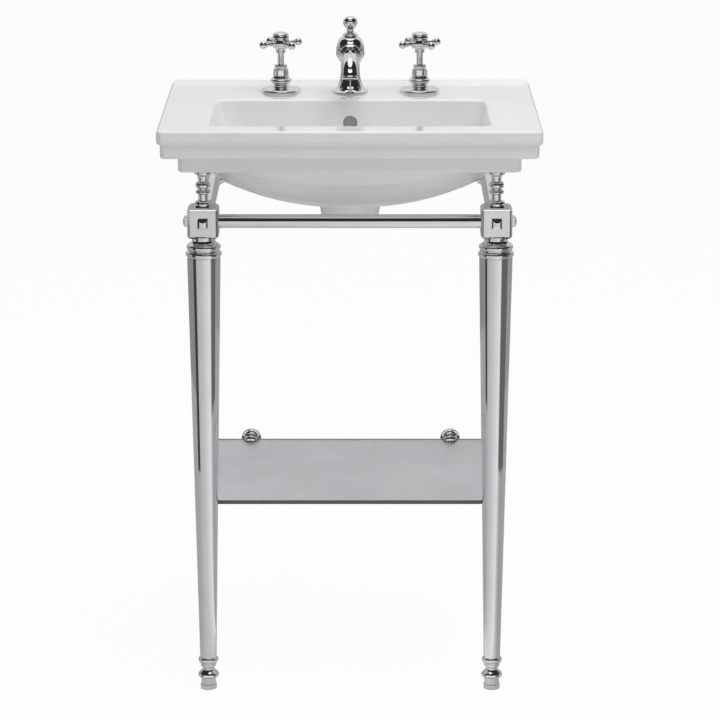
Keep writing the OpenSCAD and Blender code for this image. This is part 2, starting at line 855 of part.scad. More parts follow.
module spout_tee() {
    color(brass) at_valve(0) difference() {
        union() {
            bar(tee_r, -tee_end, -tee_top);
            translate([0, 0, -pipe_drop]) rotate([0, 90, 0]) bar(port_r, -port_out, port_out);
        }
        bar(spout_shank_r + fit, -shank_end, -tee_top + over);
        bar(chamber_r, -tee_end + 3, -tee_top);
        bar(guide_r + fit, -tee_end - over, -tee_top);
        for (side = [-1, 1])
            rotate([0, 0, 90 - 90 * side]) translate([0, 0, -pipe_drop]) rotate([0, 90, 0]) {
                bar(pipe_r + fit, port_out - pipe_grip, port_out + over);
                bar(pipe_r - pipe_wall, 0, port_out);
            }
    }
}

// Dry tube that leads the lift rod through the water chamber
module rod_guide() {
    color(brass) at_valve(0) difference() {
        bar(guide_r, -tee_end, spout_top);
        bar(rod_r + fit, -tee_end - over, spout_top + over);
    }
}

module aerator() {
    shell = 1.8;
    mouth = 3;
    screen_t = 1.2;
    color(polished) at_valve(0) at_outlet() difference() {
        bar(aerator_r, -aerator_l, -0.4);
        bar(aerator_r - shell, -aerator_l - over, -aerator_l + mouth);
        bar(aerator_r - shell, -aerator_l + mouth + screen_t, over);
        for (a = [0 : 60 : 300]) rotate([0, 0, a]) translate([4.6, 0, 0]) bar(1.2, -aerator_l, 0);
        bar(1.2, -aerator_l, 0);
    }
}

// ---- pop-up linkage ------------------------------------------------------

module lift_knob() {
    top = knob_z + knob_h;
    color(polished) at_valve(0) difference() {
        turned(concat(
            [[rod_r + 2.8, knob_z]],
            ogee(rod_r + 2.8, knob_z + 2, knob_r, knob_z + 14),
            dome(knob_r, top - 6, 3, top, 6)));
        bar(rod_r + fit, knob_z - over, knob_z + 12);
    }
}

module lift_rod() {
    color(polished) translate([0, tap_y, 0]) bar(rod_r, clamp_z + thin, rim_h + knob_z + 12);
}

// Flat strap clamped to the lift rod, with a row of holes for the lever
module lift_strap() {
    color(polished) translate([0, tap_y, 0]) difference() {
        union() {
            translate([-strap_w / 2, -strap_w / 2, clamp_z]) cube([strap_w, strap_w, clamp_h]);
            translate([-strap_w / 2, -strap_t / 2, strap_end_z])
                cube([strap_w, strap_t, clamp_z - strap_end_z + over]);
        }
        bar(rod_r + fit, clamp_z + thin, clamp_top_z + over);
        translate([0, 0, clamp_z + clamp_h / 2]) rotate([-90, 0, 0]) bar(thin + fit, 0, strap_w);
        for (i = [0 : strap_holes - 1])
            translate([0, 0, strap_hole_z + i * strap_hole_pitch]) rotate([-90, 0, 0])
                bar(strap_hole_r, -strap_w, strap_w);
    }
}

module strap_screw() {
    color(brass) translate([0, tap_y, clamp_z + clamp_h / 2]) rotate([-90, 0, 0]) {
        bar(thin, rod_r + fit, strap_w / 2);
        bar(2 * thin, strap_w / 2, strap_w / 2 + 5);
    }
}

// Lever that rocks on its ball in the back of the waste
module pivot_rod() {
    color(polished) translate([0, ball_y, port_z]) rotate([-lever_tilt, 0, 0]) rotate([-90, 0, 0]) {
        bar(rod_r, -ball_out - 5, (lever_reach + lever_end) / cos(lever_tilt));
        sphere(r = ball_r);
    }
}

// Cup nut that holds the ball, with a mouth a little narrower than the ball
module ball_nut() {
    cup = 5;
    lip = 4;
    seat = 1.3;
    mouth_r = sqrt(pow(ball_r, 2) - pow(port_lip + seat, 2)) + fit;
    color(brass) translate([0, ball_y + port_lip, port_z]) rotate([-90, 0, 0]) difference() {
        bar(ball_nut_r, -cup, lip);
        bar(boss_port_r + fit, -cup - over, 0);
        bar(ball_r + fit, -over, seat);
        bar(mouth_r, 0, lip + over);
    }
}

// ---- waste, drawn about its own axis -------------------------------------

module at_waste() {
    translate([0, waste_y, 0]) children();
}

module waste_flange() {
    top = bowl_floor_z;
    bore = throat_r - throat_wall;
    color(polished) at_waste() difference() {
        union() {
            turned([[waste_flange_r - 0.5, top - waste_flange_t],
                    [waste_flange_r, top - waste_flange_t + 0.8],
                    [waste_flange_r - 3, top]]);
            bar(throat_r, top - waste_flange_t - throat_l, top - over);
        }
        bar(bore, top - waste_flange_t - throat_l - over, top + over);
        translate([0, 0, top - waste_flange_t])
            cylinder(h = waste_flange_t + 0.01, r1 = bore, r2 = bore + waste_flange_t);
    }
}

module waste_body() {
    top = bowl_floor_z - rebate_t + 0.5;
    inner_r = waste_r - waste_wall;
    color(brass) difference() {
        at_waste() difference() {
            union() {
                bar(waste_r, waste_nut_z - 3, top);
                bar(waste_r - relief, waste_end_z, waste_nut_z);
                bar(waste_r, waste_end_z, waste_end_z + tail_thread_l);
                translate([0, 0, port_z]) rotate([-90, 0, 0])
                    bar(boss_port_r, waste_r - 4, ball_out + port_lip);
            }
            bar(inner_r, waste_end_z - over, top + over);
            for (a = [0, 90])
                rotate([0, 0, a]) translate([-slot_w / 2, -2 * waste_r, slot_z])
                    cube([slot_w, 4 * waste_r, slot_h]);
        }
        translate([0, ball_y, port_z]) rotate([-90, 0, 0]) {
            bar(ball_r + fit, -ball_r - 0.1, ball_r);
            bar(ball_r - 1, -ball_r - 8, ball_r);
        }
    }
}

module flange_seal() {
    z0 = bowl_floor_z - rebate_t;
    color(rubber) at_waste() difference() {
        bar(waste_flange_r - 0.5, z0, z0 + seal_t);
        bar(waste_r + 0.3, z0 - over, z0 + seal_t + over);
    }
}

module waste_washer() {
    color(rubber) at_waste() difference() {
        bar(recess_r - 1.5, recess_z - waste_washer_t, recess_z);
        bar(waste_r + 0.3, recess_z - waste_washer_t - over, recess_z + over);
    }
}

module waste_nut() {
    color(brass) at_waste() hex_nut(recess_r - 3, waste_r + fit, waste_nut_z, waste_nut_t);
}

module waste_plug() {
    color(polished) at_waste() difference() {
        union() {
            turned(concat([[dome_r - 0.6, plug_z]], dome(dome_r, plug_z + 0.8, 0.5, plug_z + dome_h, 7)));
            bar(plug_neck_r, plug_z - plug_seal_t - thin, plug_z);
            bar(plug_stem_r, eye_z + eye_r + 1, plug_z);
            translate([-eye_r - 3, -eye_t / 2, eye_z - eye_r - 2.5])
                cube([2 * eye_r + 6, eye_t, 2 * eye_r + 6]);
        }
        translate([0, 0, eye_z]) rotate([90, 0, 0]) bar(eye_r, -eye_t, eye_t);
    }
}

module plug_seal() {
    bore = throat_r - throat_wall;
    color(rubber) at_waste() difference() {
        bar(bore + 0.6, plug_z - plug_seal_t, plug_z);
        bar(plug_neck_r + fit, plug_z - plug_seal_t - over, plug_z + over);
    }
}

// ---- stand ---------------------------------------------------------------

module leg_tube() {
    h = tube_top_z - tube_bottom_z;
    rest_z = shelf_under_z - rest_pad_t - rest_r;
    color(polished) difference() {
        translate([0, 0, tube_bottom_z]) cylinder(h = h, r1 = leg_r_bottom, r2 = leg_r_top);
        translate([0, 0, tube_bottom_z - 0.01])
            cylinder(h = h + 0.02, r1 = leg_r_bottom - leg_wall, r2 = leg_r_top - leg_wall);
        translate([0, 0, rest_z]) rotate([-90, 0, 0]) bar(rest_r + fit, 0, leg_r_top + over);
    }
}

module leg_left() { translate([-leg_x, leg_y, 0]) leg_tube(); }
module leg_right() { translate([leg_x, leg_y, 0]) leg_tube(); }

// Places its children on both leg axes
module at_legs() {
    for (side = [-1, 1]) translate([side * leg_x, leg_y, 0]) children();
}

// Collar between tube and block: two beads and a waist, spigots above and below
module leg_collars() {
    taper = (leg_r_top - leg_r_bottom) / (tube_top_z - tube_bottom_z);
    spigot_r = leg_r_top - leg_wall - collar_spigot_l * taper - 0.1;
    waist = leg_r_top - 2;
    neck = leg_r_top - 7.7;
    color(polished) at_legs() translate([0, 0, tube_top_z]) {
        turned(concat(
            [[leg_r_top - 0.4, 0], [leg_r_top - 0.4, 1.2]],
            bead(leg_r_top - 0.8, leg_r_top + 1.7, 1.4, collar_h * 0.27),
            ogee(waist, collar_h * 0.32, waist + 0.2, collar_h * 0.4),
            bead(waist + 0.2, leg_r_top + 0.5, collar_h * 0.4, collar_h * 0.62),
            cove(waist - 0.6, collar_h * 0.64, neck, collar_h * 0.9, 6),
            [[neck, collar_h]]));
        bar(spigot_r, -collar_spigot_l, 1);
        bar(collar_stud_r, collar_h - 1, collar_h + stud_grip);
    }
}

// Cube with every edge chamfered, centred on the origin
module chamfered_cube(s, c) {
    h = s / 2;
    outline = [[h - c, -h], [h, -h + c], [h, h - c], [h - c, h],
               [-h + c, h], [-h, h - c], [-h, -h + c], [-h + c, -h]];
    intersection() {
        translate([0, 0, -h]) linear_extrude(s) polygon(outline);
        rotate([90, 0, 0]) translate([0, 0, -h]) linear_extrude(s) polygon(outline);
        rotate([0, 90, 0]) translate([0, 0, -h]) linear_extrude(s) polygon(outline);
    }
}

// Blocks that join leg, post, front rail and side rail
module corner_blocks() {
    h = block_s / 2;
    color(polished) for (side = [-1, 1]) translate([side * leg_x, leg_y, block_z]) difference() {
        chamfered_cube(block_s, block_chamfer);
        bar(post_stud_r + fit, h - stud_grip - 0.5, h + over);
        bar(collar_stud_r + fit, -h - over, -h + stud_grip + 0.5);
        rotate([-90, 0, 0]) bar(side_rail_r + fit, h - rail_grip, h + over);
        rotate([0, -90 * side, 0]) bar(front_rail_r + fit, h - rail_grip, h + over);
        rotate([90, 0, 0]) bar(cap_stud_r + fit, h - cap_stud_l - 0.5, h + over);
        rotate([0, 90 * side, 0]) bar(cap_stud_r + fit, h - cap_stud_l - 0.5, h + over);
    }
}

// Square cap: a low pyramid on a stud
module block_cap() {
    w = cap_w / 2;
    flank = [[-w, 0], [w, 0], [w, cap_h * 0.45], [w * 0.4, cap_h], [-w * 0.4, cap_h], [-w, cap_h * 0.45]];
    color(polished) {
        intersection() {
            rotate([90, 0, 0]) translate([0, 0, -w]) linear_extrude(cap_w) polygon(flank);
            rotate([90, 0, 90]) translate([0, 0, -w]) linear_extrude(cap_w) polygon(flank);
        }
        bar(cap_stud_r, -cap_stud_l, 1);
    }
}

module block_caps() {
    for (side = [-1, 1]) translate([side * leg_x, leg_y, block_z]) {
        translate([0, -block_s / 2, 0]) rotate([90, 0, 0]) block_cap();
        translate([side * block_s / 2, 0, 0]) rotate([0, 90 * side, 0]) block_cap();
    }
}

// Turned posts that carry the basin on the blocks
module basin_posts() {
    stem = 7;
    foot = 12.4;
    ring = 10.7;
    color(polished) at_legs() translate([0, 0, post_z]) {
        turned(concat(
            [[foot, 0], [foot, 2.5]],
            cove(foot - 0.6, 2.5, stem, 7, 5),
            [[stem, post_h * 0.34]],
            bead(stem, ring, post_h * 0.36, post_h * 0.5),
            bead(stem + 0.8, ring, post_h * 0.54, post_h * 0.72),
            ogee(stem - 0.4, post_h * 0.76, foot - 0.6, post_h - 3),
            [[foot - 0.4, post_h - 2.4], [foot - 0.4, post_h]]));
        bar(post_stud_r, -stud_grip, 1);
    }
}

module seat_pads() {
    color(rubber) at_legs() bar(seat_pad_r, post_z + post_h, skirt_z);
}

// Ankle: ring, waist and bell, bored from below for the levelling foot
module ankles() {
    neck = leg_r_bottom - 3.1;
    color(polished) at_legs() translate([0, 0, foot_show]) difference() {
        union() {
            turned(concat(
                [[leg_r_bottom + 1, 0]],
                ogee(leg_r_bottom + 2, 0.8, leg_r_bottom + 3.5, 3.4, 3),
                dome(leg_r_bottom + 3.5, 5.2, neck, ankle_h * 0.43, 7),
                ogee(neck, ankle_h * 0.44, neck + 2.2, ankle_h * 0.56, 4),
                bead(neck + 2.2, leg_r_bottom + 0.8, ankle_h * 0.58, ankle_h * 0.72),
                bead(leg_r_bottom - 0.6, leg_r_bottom + 2.9, ankle_h * 0.72, ankle_h * 0.94),
                [[leg_r_bottom, ankle_h]]));
            bar(leg_r_bottom - leg_wall - 0.1, ankle_h - 1, ankle_h + ankle_spigot_l);
        }
        bar(foot_neck_r + foot_gap, -over, foot_bore);
        bar(foot_stud_r + fit, 0, foot_stud_l + 10);
    }
}

// Levelling foot on its threaded stud
module levelling_foot() {
    color(polished) {
        turned(concat(
            [[foot_r - 1.2, 0]],
            bead(foot_r - 0.8, foot_r, 0.4, foot_base_h - 2),
            [[foot_neck_r, foot_base_h], [foot_neck_r, foot_show + 0.5]]));
        bar(foot_stud_r, 1, foot_show + foot_stud_l);
    }
}

module foot_left() { translate([-leg_x, leg_y, 0]) levelling_foot(); }
module foot_right() { translate([leg_x, leg_y, 0]) levelling_foot(); }

module front_rail() {
    reach = leg_x - block_s / 2 + rail_grip;
    color(polished) translate([0, leg_y, block_z]) rotate([0, 90, 0]) difference() {
        bar(front_rail_r, -reach, reach);
        bar(front_rail_r - rail_wall, -reach - over, reach + over);
    }
}

module side_rails() {
    y0 = leg_y + block_s / 2 - rail_grip;
    y1 = wall_y - flange_t + flange_socket;
    color(polished) for (side = [-1, 1])
        translate([side * leg_x, y0, block_z]) rotate([-90, 0, 0]) difference() {
            bar(side_rail_r, 0, y1 - y0);
            bar(side_rail_r - rail_wall, -over, y1 - y0 + over);
        }
}

// Wall flanges: a socket for the rail and three screw holes
module wall_flanges() {
    color(polished) for (side = [-1, 1])
        translate([side * leg_x, wall_y, block_z]) rotate([90, 0, 0]) difference() {
            turned(concat([[flange_r - 0.5, 0], [flange_r, 0.5]],
                          dome(flange_r, flange_t * 0.5, flange_r - 6, flange_t, 5)));
            bar(side_rail_r + fit, flange_t - flange_socket, flange_t + over);
            for (a = [90 : 120 : 330]) rotate([0, 0, a]) translate([flange_screw_ring, 0, 0])
                bar(flange_screw_r, -over, flange_t + over);
        }
}

// ---- shelf ---------------------------------------------------------------

module glass_shelf() {
    y0 = front_y + glass_front;
    depth = wall_y - glass_back - y0;
    r = glass_corner_r;
    color(glass) translate([-glass_w / 2, y0, shelf_under_z]) linear_extrude(glass_t) {
        translate([r, 0]) square([glass_w - 2 * r, depth]);
        translate([0, r]) square([glass_w, depth - 2 * r]);
        for (x = [r, glass_w - r], y = [r, depth - r]) translate([x, y]) circle(r = r);
    }
}

// Places its children at the wall brackets, with z from the wall to the front
module at_brackets() {
    for (side = [-1, 1])
        translate([side * bracket_pitch / 2, wall_y, shelf_z - glass_t / 2]) rotate([90, 0, 0]) children();
}

module shelf_brackets() {
    slot_z0 = glass_back - 1;
    lip = 2.5;
    color(polished) at_brackets() difference() {
        turned(concat(
            [[bracket_r - 0.5, 0], [bracket_r, 0.5], [bracket_r, 3]],
            ogee(bracket_r - 0.5, 4, jaw_r, 9.5),
            dome(jaw_r, bracket_l - lip, jaw_r - lip, bracket_l, 4)));
        translate([-bracket_r, -glass_t / 2 - fit, slot_z0])
            cube([2 * bracket_r, glass_t + 2 * fit, bracket_l]);
        bar(stud_r, -over, stud_depth);
        translate([0, 0, bracket_screw_z]) rotate([90, 0, 0]) bar(thin + fit, 0, bracket_r);
    }
}

// Screws that pinch the glass from below
module bracket_screws() {
    color(polished) at_brackets() translate([0, 0, bracket_screw_z]) rotate([90, 0, 0])
        bar(thin, glass_t / 2, jaw_r + thin);
}

// Pins through the backs of the legs, each with a round plate under the glass
module shelf_rests() {
    rest_z = shelf_under_z - rest_pad_t - rest_r;
    color(polished) at_legs() {
        translate([0, 0, rest_z]) rotate([-90, 0, 0]) bar(rest_r, 4, rest_out);
        translate([0, rest_out, 0]) bar(rest_plate_r, rest_z - thin, rest_z + rest_r);
    }
}

module rest_pads() {
    color(rubber) at_legs() translate([0, rest_out, 0])
        bar(rest_pad_r, shelf_under_z - rest_pad_t, shelf_under_z);
}

basin();
hot_rose();
hot_shroud();
hot_valve_body();
hot_cartridge();
hot_spindle();
hot_handle();
hot_handle_screw();
hot_handle_cap();
cold_rose();
cold_shroud();
cold_valve_body();
cold_cartridge();
cold_spindle();
cold_handle();
cold_handle_screw();
cold_handle_cap();
tap_washers();
tap_nuts();
cross_pipes();
pipe_nuts();
spout_body();
spout_arm();
spout_collar();
spout_tee();
rod_guide();
aerator();
lift_knob();
lift_rod();
lift_strap();
strap_screw();
waste_flange();
waste_body();
flange_seal();
waste_washer();
waste_nut();
waste_plug();
plug_seal();
pivot_rod();
ball_nut();
leg_left();
leg_right();
leg_collars();
corner_blocks();
block_caps();
basin_posts();
seat_pads();
ankles();
foot_left();
foot_right();
front_rail();
side_rails();
wall_flanges();
glass_shelf();
shelf_brackets();
bracket_screws();
shelf_rests();
rest_pads();
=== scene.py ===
"""Dresses the console washstand: china basin, polished taps and stand, glass shelf.

Every piece is modelled in millimetres about its own axis, set in its place in the frame,
and given a finish whose pattern runs on object coordinates.
"""

import logging
import math
from collections.abc import Sequence
from dataclasses import dataclass, field
from enum import Enum

import bmesh
import bpy
from mathutils import Matrix, Vector


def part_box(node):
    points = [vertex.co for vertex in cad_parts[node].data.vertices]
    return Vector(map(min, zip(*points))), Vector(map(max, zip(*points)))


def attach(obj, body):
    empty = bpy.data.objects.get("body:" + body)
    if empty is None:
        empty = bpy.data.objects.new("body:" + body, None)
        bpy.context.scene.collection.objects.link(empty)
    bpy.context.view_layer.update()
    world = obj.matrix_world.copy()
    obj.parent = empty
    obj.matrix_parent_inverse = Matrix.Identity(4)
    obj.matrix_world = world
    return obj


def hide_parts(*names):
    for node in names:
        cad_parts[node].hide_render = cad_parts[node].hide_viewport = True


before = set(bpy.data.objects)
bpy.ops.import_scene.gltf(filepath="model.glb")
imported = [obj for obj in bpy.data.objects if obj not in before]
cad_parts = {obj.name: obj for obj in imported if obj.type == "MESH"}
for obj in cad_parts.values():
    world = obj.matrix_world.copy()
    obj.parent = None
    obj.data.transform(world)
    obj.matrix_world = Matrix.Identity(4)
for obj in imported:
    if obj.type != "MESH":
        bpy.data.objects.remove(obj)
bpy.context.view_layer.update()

LOG = logging.getLogger("washstand")

MM = 0.001
FULL_TURN = 2 * math.pi
UPRIGHT = Matrix.Identity(4)

Colour = tuple[float, float, float, float]
WHITE: Colour = (1, 1, 1, 1)

# Sides of the circle on the widest turned parts.
WIDE_STEPS = 128


class Bend(Enum):
    """How a quarter curve of an outline leaves its start."""

    LEVEL = "level"
    UPRIGHT = "upright"


class Slot(Enum):
    """Material slots of the part's record."""

    CHINA = "china"
    METAL = "polished_metal"
    BRASS = "bare_brass"
    RUBBER = "seal_rubber"
    GLASS = "frosted_glass"


class Body(Enum):
    """Bodies that pieces ride on."""

    STAND = "washstand"
    HOT = "hot_handle"
    COLD = "cold_handle"
    LIFT = "lift"
    LEVER = "lever"
    PLUG = "plug"
    LEFT_FOOT = "left_foot"
    RIGHT_FOOT = "right_foot"


# ---- finishes ------------------------------------------------------------


class Wiring:
    """Adds and joins the nodes of one node tree."""

    def __init__(self, tree: bpy.types.NodeTree) -> None:
        """Takes up a node tree."""
        self.tree = tree

    def node(self, kind: str, **sockets: object) -> bpy.types.Node:
        """Adds a node.

        Args:
            kind: The node's type.
            sockets: Values for its sockets by name, with spaces as underscores.

        Returns:
            The new node.
        """
        node = self.tree.nodes.new(kind)
        for name, value in sockets.items():
            node.inputs[name.replace("_", " ")].default_value = value
        return node

    def link(self, source: bpy.types.NodeSocket, target: bpy.types.NodeSocket) -> None:
        """Joins two sockets."""
        self.tree.links.new(source, target)


class NodeBench(Wiring):
    """Lays out the node tree of one material."""

    RAMP_START, RAMP_END = 0.3, 0.7

    def __init__(self, name: str) -> None:
        """Starts a material with its shader."""
        self.material = bpy.data.materials.new(name)
        self.material.use_nodes = True
        super().__init__(self.material.node_tree)
        self.shader = self.tree.nodes["Principled BSDF"]
        self.place = self.node("ShaderNodeTexCoord").outputs["Object"]

    def stretched(self, scale: tuple[float, float, float]) -> bpy.types.NodeSocket:
        """Object coordinates with each axis scaled."""
        mapping = self.node("ShaderNodeMapping", Scale=scale)
        self.link(self.place, mapping.inputs["Vector"])
        return mapping.outputs["Vector"]

    def noise(self, scale: float, detail: float = 3.0,
              place: bpy.types.NodeSocket | None = None) -> bpy.types.NodeSocket:
        """Noise from 0 to 1.

        Args:
            scale: Waves to the metre.
            detail: Octaves.
            place: Coordinates, or None for the plain object coordinates.

        Returns:
            The noise's value socket.
        """
        noise = self.node("ShaderNodeTexNoise", Scale=scale, Detail=detail)
        self.link(place or self.place, noise.inputs["Vector"])
        return noise.outputs["Fac"]

    def spread(self, value: bpy.types.NodeSocket, low: float, high: float) -> bpy.types.NodeSocket:
        """Spreads the middle of a noise between two limits.

        Args:
            value: The noise.
            low: Result at the ramp's start.
            high: Result at the ramp's end.

        Returns:
            The spread value's socket.
        """
        spread = self.node("ShaderNodeMapRange", From_Min=self.RAMP_START, From_Max=self.RAMP_END,
                           To_Min=low, To_Max=high)
        self.link(value, spread.inputs["Value"])
        return spread.outputs["Result"]

    def blend(self, value: bpy.types.NodeSocket, low: Colour, high: Colour) -> bpy.types.NodeSocket:
        """Colour between two colours, over the middle of a noise."""
        ramp = self.node("ShaderNodeValToRGB")
        first, last = ramp.color_ramp.elements
        first.position, last.position = self.RAMP_START, self.RAMP_END
        first.color, last.color = low, high
        self.link(value, ramp.inputs["Fac"])
        return ramp.outputs["Color"]

    def bump(self, value: bpy.types.NodeSocket, strength: float, height: float) -> None:
        """Raises the surface by a value.

        Args:
            value: Height pattern.
            strength: Share of the effect.
            height: Height of the pattern in metres.
        """
        bump = self.node("ShaderNodeBump", Strength=strength, Distance=height)
        self.link(value, bump.inputs["Height"])
        self.link(bump.outputs["Normal"], self.shader.inputs["Normal"])

    def paint(self, colour: bpy.types.NodeSocket, roughness: bpy.types.NodeSocket, **levels: float) -> None:
        """Sets the shader's colour, its roughness and any plain values.

        Args:
            colour: The colour's socket.
            roughness: The roughness's socket.
            levels: Plain values by socket name, with spaces as underscores.
        """
        self.link(colour, self.shader.inputs["Base Color"])
        self.link(roughness, self.shader.inputs["Roughness"])
        for name, level in levels.items():
            self.shader.inputs[name.replace("_", " ")].default_value = level


@dataclass(frozen=True)
class Finish:
    """Surface of a piece, built once and shared."""

    name: str
    slot: Slot

    def dress(self, bench: NodeBench) -> None:
        """Fills the material's nodes."""
        raise NotImplementedError

    def material(self) -> bpy.types.Material:
        """The finish's material, made on first use."""
        made = bpy.data.materials.get(self.name)
        if made is None:
            bench = NodeBench(self.name)
            self.dress(bench)
            made = bench.material
        return made


@dataclass(frozen=True)
class Glaze(Finish):
    """White glaze on china: deep gloss, a faint ripple and a trace of tone."""

    pale: Colour = (0.83, 0.83, 0.825, 1)
    deep: Colour = (0.79, 0.792, 0.79, 1)
    ripple: float = 0.00005

    def dress(self, bench: NodeBench) -> None:
        """Fills the glaze's nodes."""
        bench.paint(bench.blend(bench.noise(7, 2), self.deep, self.pale),
                    bench.spread(bench.noise(30), 0.10, 0.17),
                    Coat_Weight=0.5, Coat_Roughness=0.03, IOR=1.5)
        bench.bump(bench.noise(45, 1), 0.25, self.ripple)


@dataclass(frozen=True)
class Polish(Finish):
    """Plated metal, buffed bright, with fine haze left by the buff."""

    tint: Colour = (0.745, 0.752, 0.762, 1)
    shade: Colour = (0.705, 0.712, 0.725, 1)
    haze: tuple[float, float] = (0.035, 0.065)

    def dress(self, bench: NodeBench) -> None:
        """Fills the plating's nodes."""
        bench.paint(bench.blend(bench.noise(22, 2), self.shade, self.tint),
                    bench.spread(bench.noise(60), *self.haze), Metallic=1.0)
        bench.bump(bench.noise(90, 1), 0.12, 0.00002)


@dataclass(frozen=True)
class TurnedBrass(Finish):
    """Raw brass with tool lines and dull patches."""

    bright: Colour = (0.72, 0.50, 0.22, 1)
    dull: Colour = (0.46, 0.31, 0.13, 1)

    def dress(self, bench: NodeBench) -> None:
        """Fills the brass's nodes."""
        bench.paint(bench.blend(bench.noise(55, 4), self.dull, self.bright),
                    bench.spread(bench.noise(120), 0.22, 0.42), Metallic=1.0)
        bench.bump(bench.noise(1, 2, bench.stretched((40, 40, 2600))), 0.2, 0.00005)


@dataclass(frozen=True)
class Rubber(Finish):
    """Moulded black rubber."""

    black: Colour = (0.018, 0.018, 0.019, 1)
    worn: Colour = (0.045, 0.044, 0.043, 1)

    def dress(self, bench: NodeBench) -> None:
        """Fills the rubber's nodes."""
        grain = bench.noise(900, 4)
        bench.paint(bench.blend(grain, self.black, self.worn), bench.spread(bench.noise(200), 0.55, 0.8))
        bench.bump(grain, 0.4, 0.0001)


@dataclass(frozen=True)
class SatinGlass(Finish):
    """Etched faces of the glass: grey, soft and see-through."""

    deep: Colour = (0.555, 0.57, 0.59, 1)
    pale: Colour = (0.63, 0.64, 0.66, 1)

    def dress(self, bench: NodeBench) -> None:
        """Fills the etched glass's nodes."""
        etch = bench.noise(700, 5)
        bench.paint(bench.blend(bench.noise(9, 2), self.deep, self.pale), bench.spread(etch, 0.12, 0.20),
                    Transmission_Weight=1.0)
        bench.bump(etch, 0.15, 0.00003)


@dataclass(frozen=True)
class GlassEdge(Finish):
    """Ground and polished edge of the glass, dark with its own green."""

    deep: Colour = (0.045, 0.066, 0.070, 1)
    pale: Colour = (0.075, 0.100, 0.105, 1)

    def dress(self, bench: NodeBench) -> None:
        """Fills the edge's nodes."""
        streak = bench.noise(1, 3, bench.stretched((60, 60, 900)))
        bench.paint(bench.blend(streak, self.deep, self.pale), bench.spread(bench.noise(150), 0.06, 0.14),
                    Coat_Weight=0.4)


CHINA = Glaze("glazed_china", Slot.CHINA)
CHROME = Polish("polished_plate", Slot.METAL)
BRASS = TurnedBrass("turned_brass", Slot.BRASS)
RUBBER = Rubber("seal_rubber", Slot.RUBBER)
GLASS = SatinGlass("etched_glass", Slot.GLASS)
GLASS_EDGE = GlassEdge("ground_glass_edge", Slot.GLASS)


# ---- shop tools ----------------------------------------------------------


class Outline:
    """Half outline of a turned part, in millimetres, run up its outer side."""

    SOFT_ANGLE = math.radians(18)
    SOFT_STEPS = 4

    def __init__(self, radius: float, height: float) -> None:
        """Starts at a radius and a height."""
        self.points = [(radius, height)]

    def line(self, *corners: tuple[float, float]) -> "Outline":
        """Runs straight to each corner in turn."""
        self.points += corners
        return self

    def quarter(self, radius: float, height: float, leaves: Bend, steps: int = 10) -> "Outline":
        """Runs along a quarter of an ellipse.

        Args:
            radius: Radius at the end.
            height: Height at the end.
            leaves: Direction at the start.
            steps: Straight pieces that make up the curve.

        Returns:
            The outline itself.
        """
        r0, z0 = self.points[-1]
        for step in range(1, steps + 1):
            angle = math.pi / 2 * step / steps
            swing, rest = math.sin(angle), 1 - math.cos(angle)
            along, up = (swing, rest) if leaves is Bend.LEVEL else (rest, swing)
            self.points.append((r0 + (radius - r0) * along, z0 + (height - z0) * up))
        return self

    def ogee(self, radius: float, height: float, steps: int = 14) -> "Outline":
        """Runs along an S that is upright at both ends."""
        r0, z0 = self.points[-1]
        for step in range(1, steps + 1):
            share = step / steps
            swing = (1 - math.cos(math.pi * share)) / 2
            self.points.append((r0 + (radius - r0) * swing, z0 + (height - z0) * share))
        return self

    def bead(self, radius: float, height: float, bulge: float, steps: int = 14) -> "Outline":
        """Runs along a half-round bead.

        Args:
            radius: Radius at the end.
            height: Height at the end.
            bulge: How far the bead stands out from the straight line.
            steps: Straight pieces that make up the bead.

        Returns:
            The outline itself.
        """
        r0, z0 = self.points[-1]
        for step in range(1, steps + 1):
            angle = math.pi * step / steps
            share = (1 - math.cos(angle)) / 2
            self.points.append((r0 + (radius - r0) * share + bulge * math.sin(angle),
                                z0 + (height - z0) * share))
        return self

    def softened(self, radius: float) -> "Outline":
        """New outline with its sharp corners eased to a radius."""
        points = [Vector(point) for point in self.points]
        eased = [points[0]]
        for before, here, after in zip(points, points[1:], points[2:]):
            into, out = here - before, after - here
            turn = into.angle(out, 0.0)
            if turn < self.SOFT_ANGLE:
                eased.append(here)
                continue
            reach = min(radius * math.tan(turn / 2), 0.45 * into.length, 0.45 * out.length)
            first = here - into.normalized() * reach
            last = here + out.normalized() * reach
            for step in range(self.SOFT_STEPS + 1):
                share = step / self.SOFT_STEPS
                eased.append(first * (1 - share) ** 2 + here * 2 * share * (1 - share) + last * share ** 2)
        eased.append(points[-1])
        soft = Outline(*eased[0])
        soft.points = [tuple(point) for point in eased]
        return soft


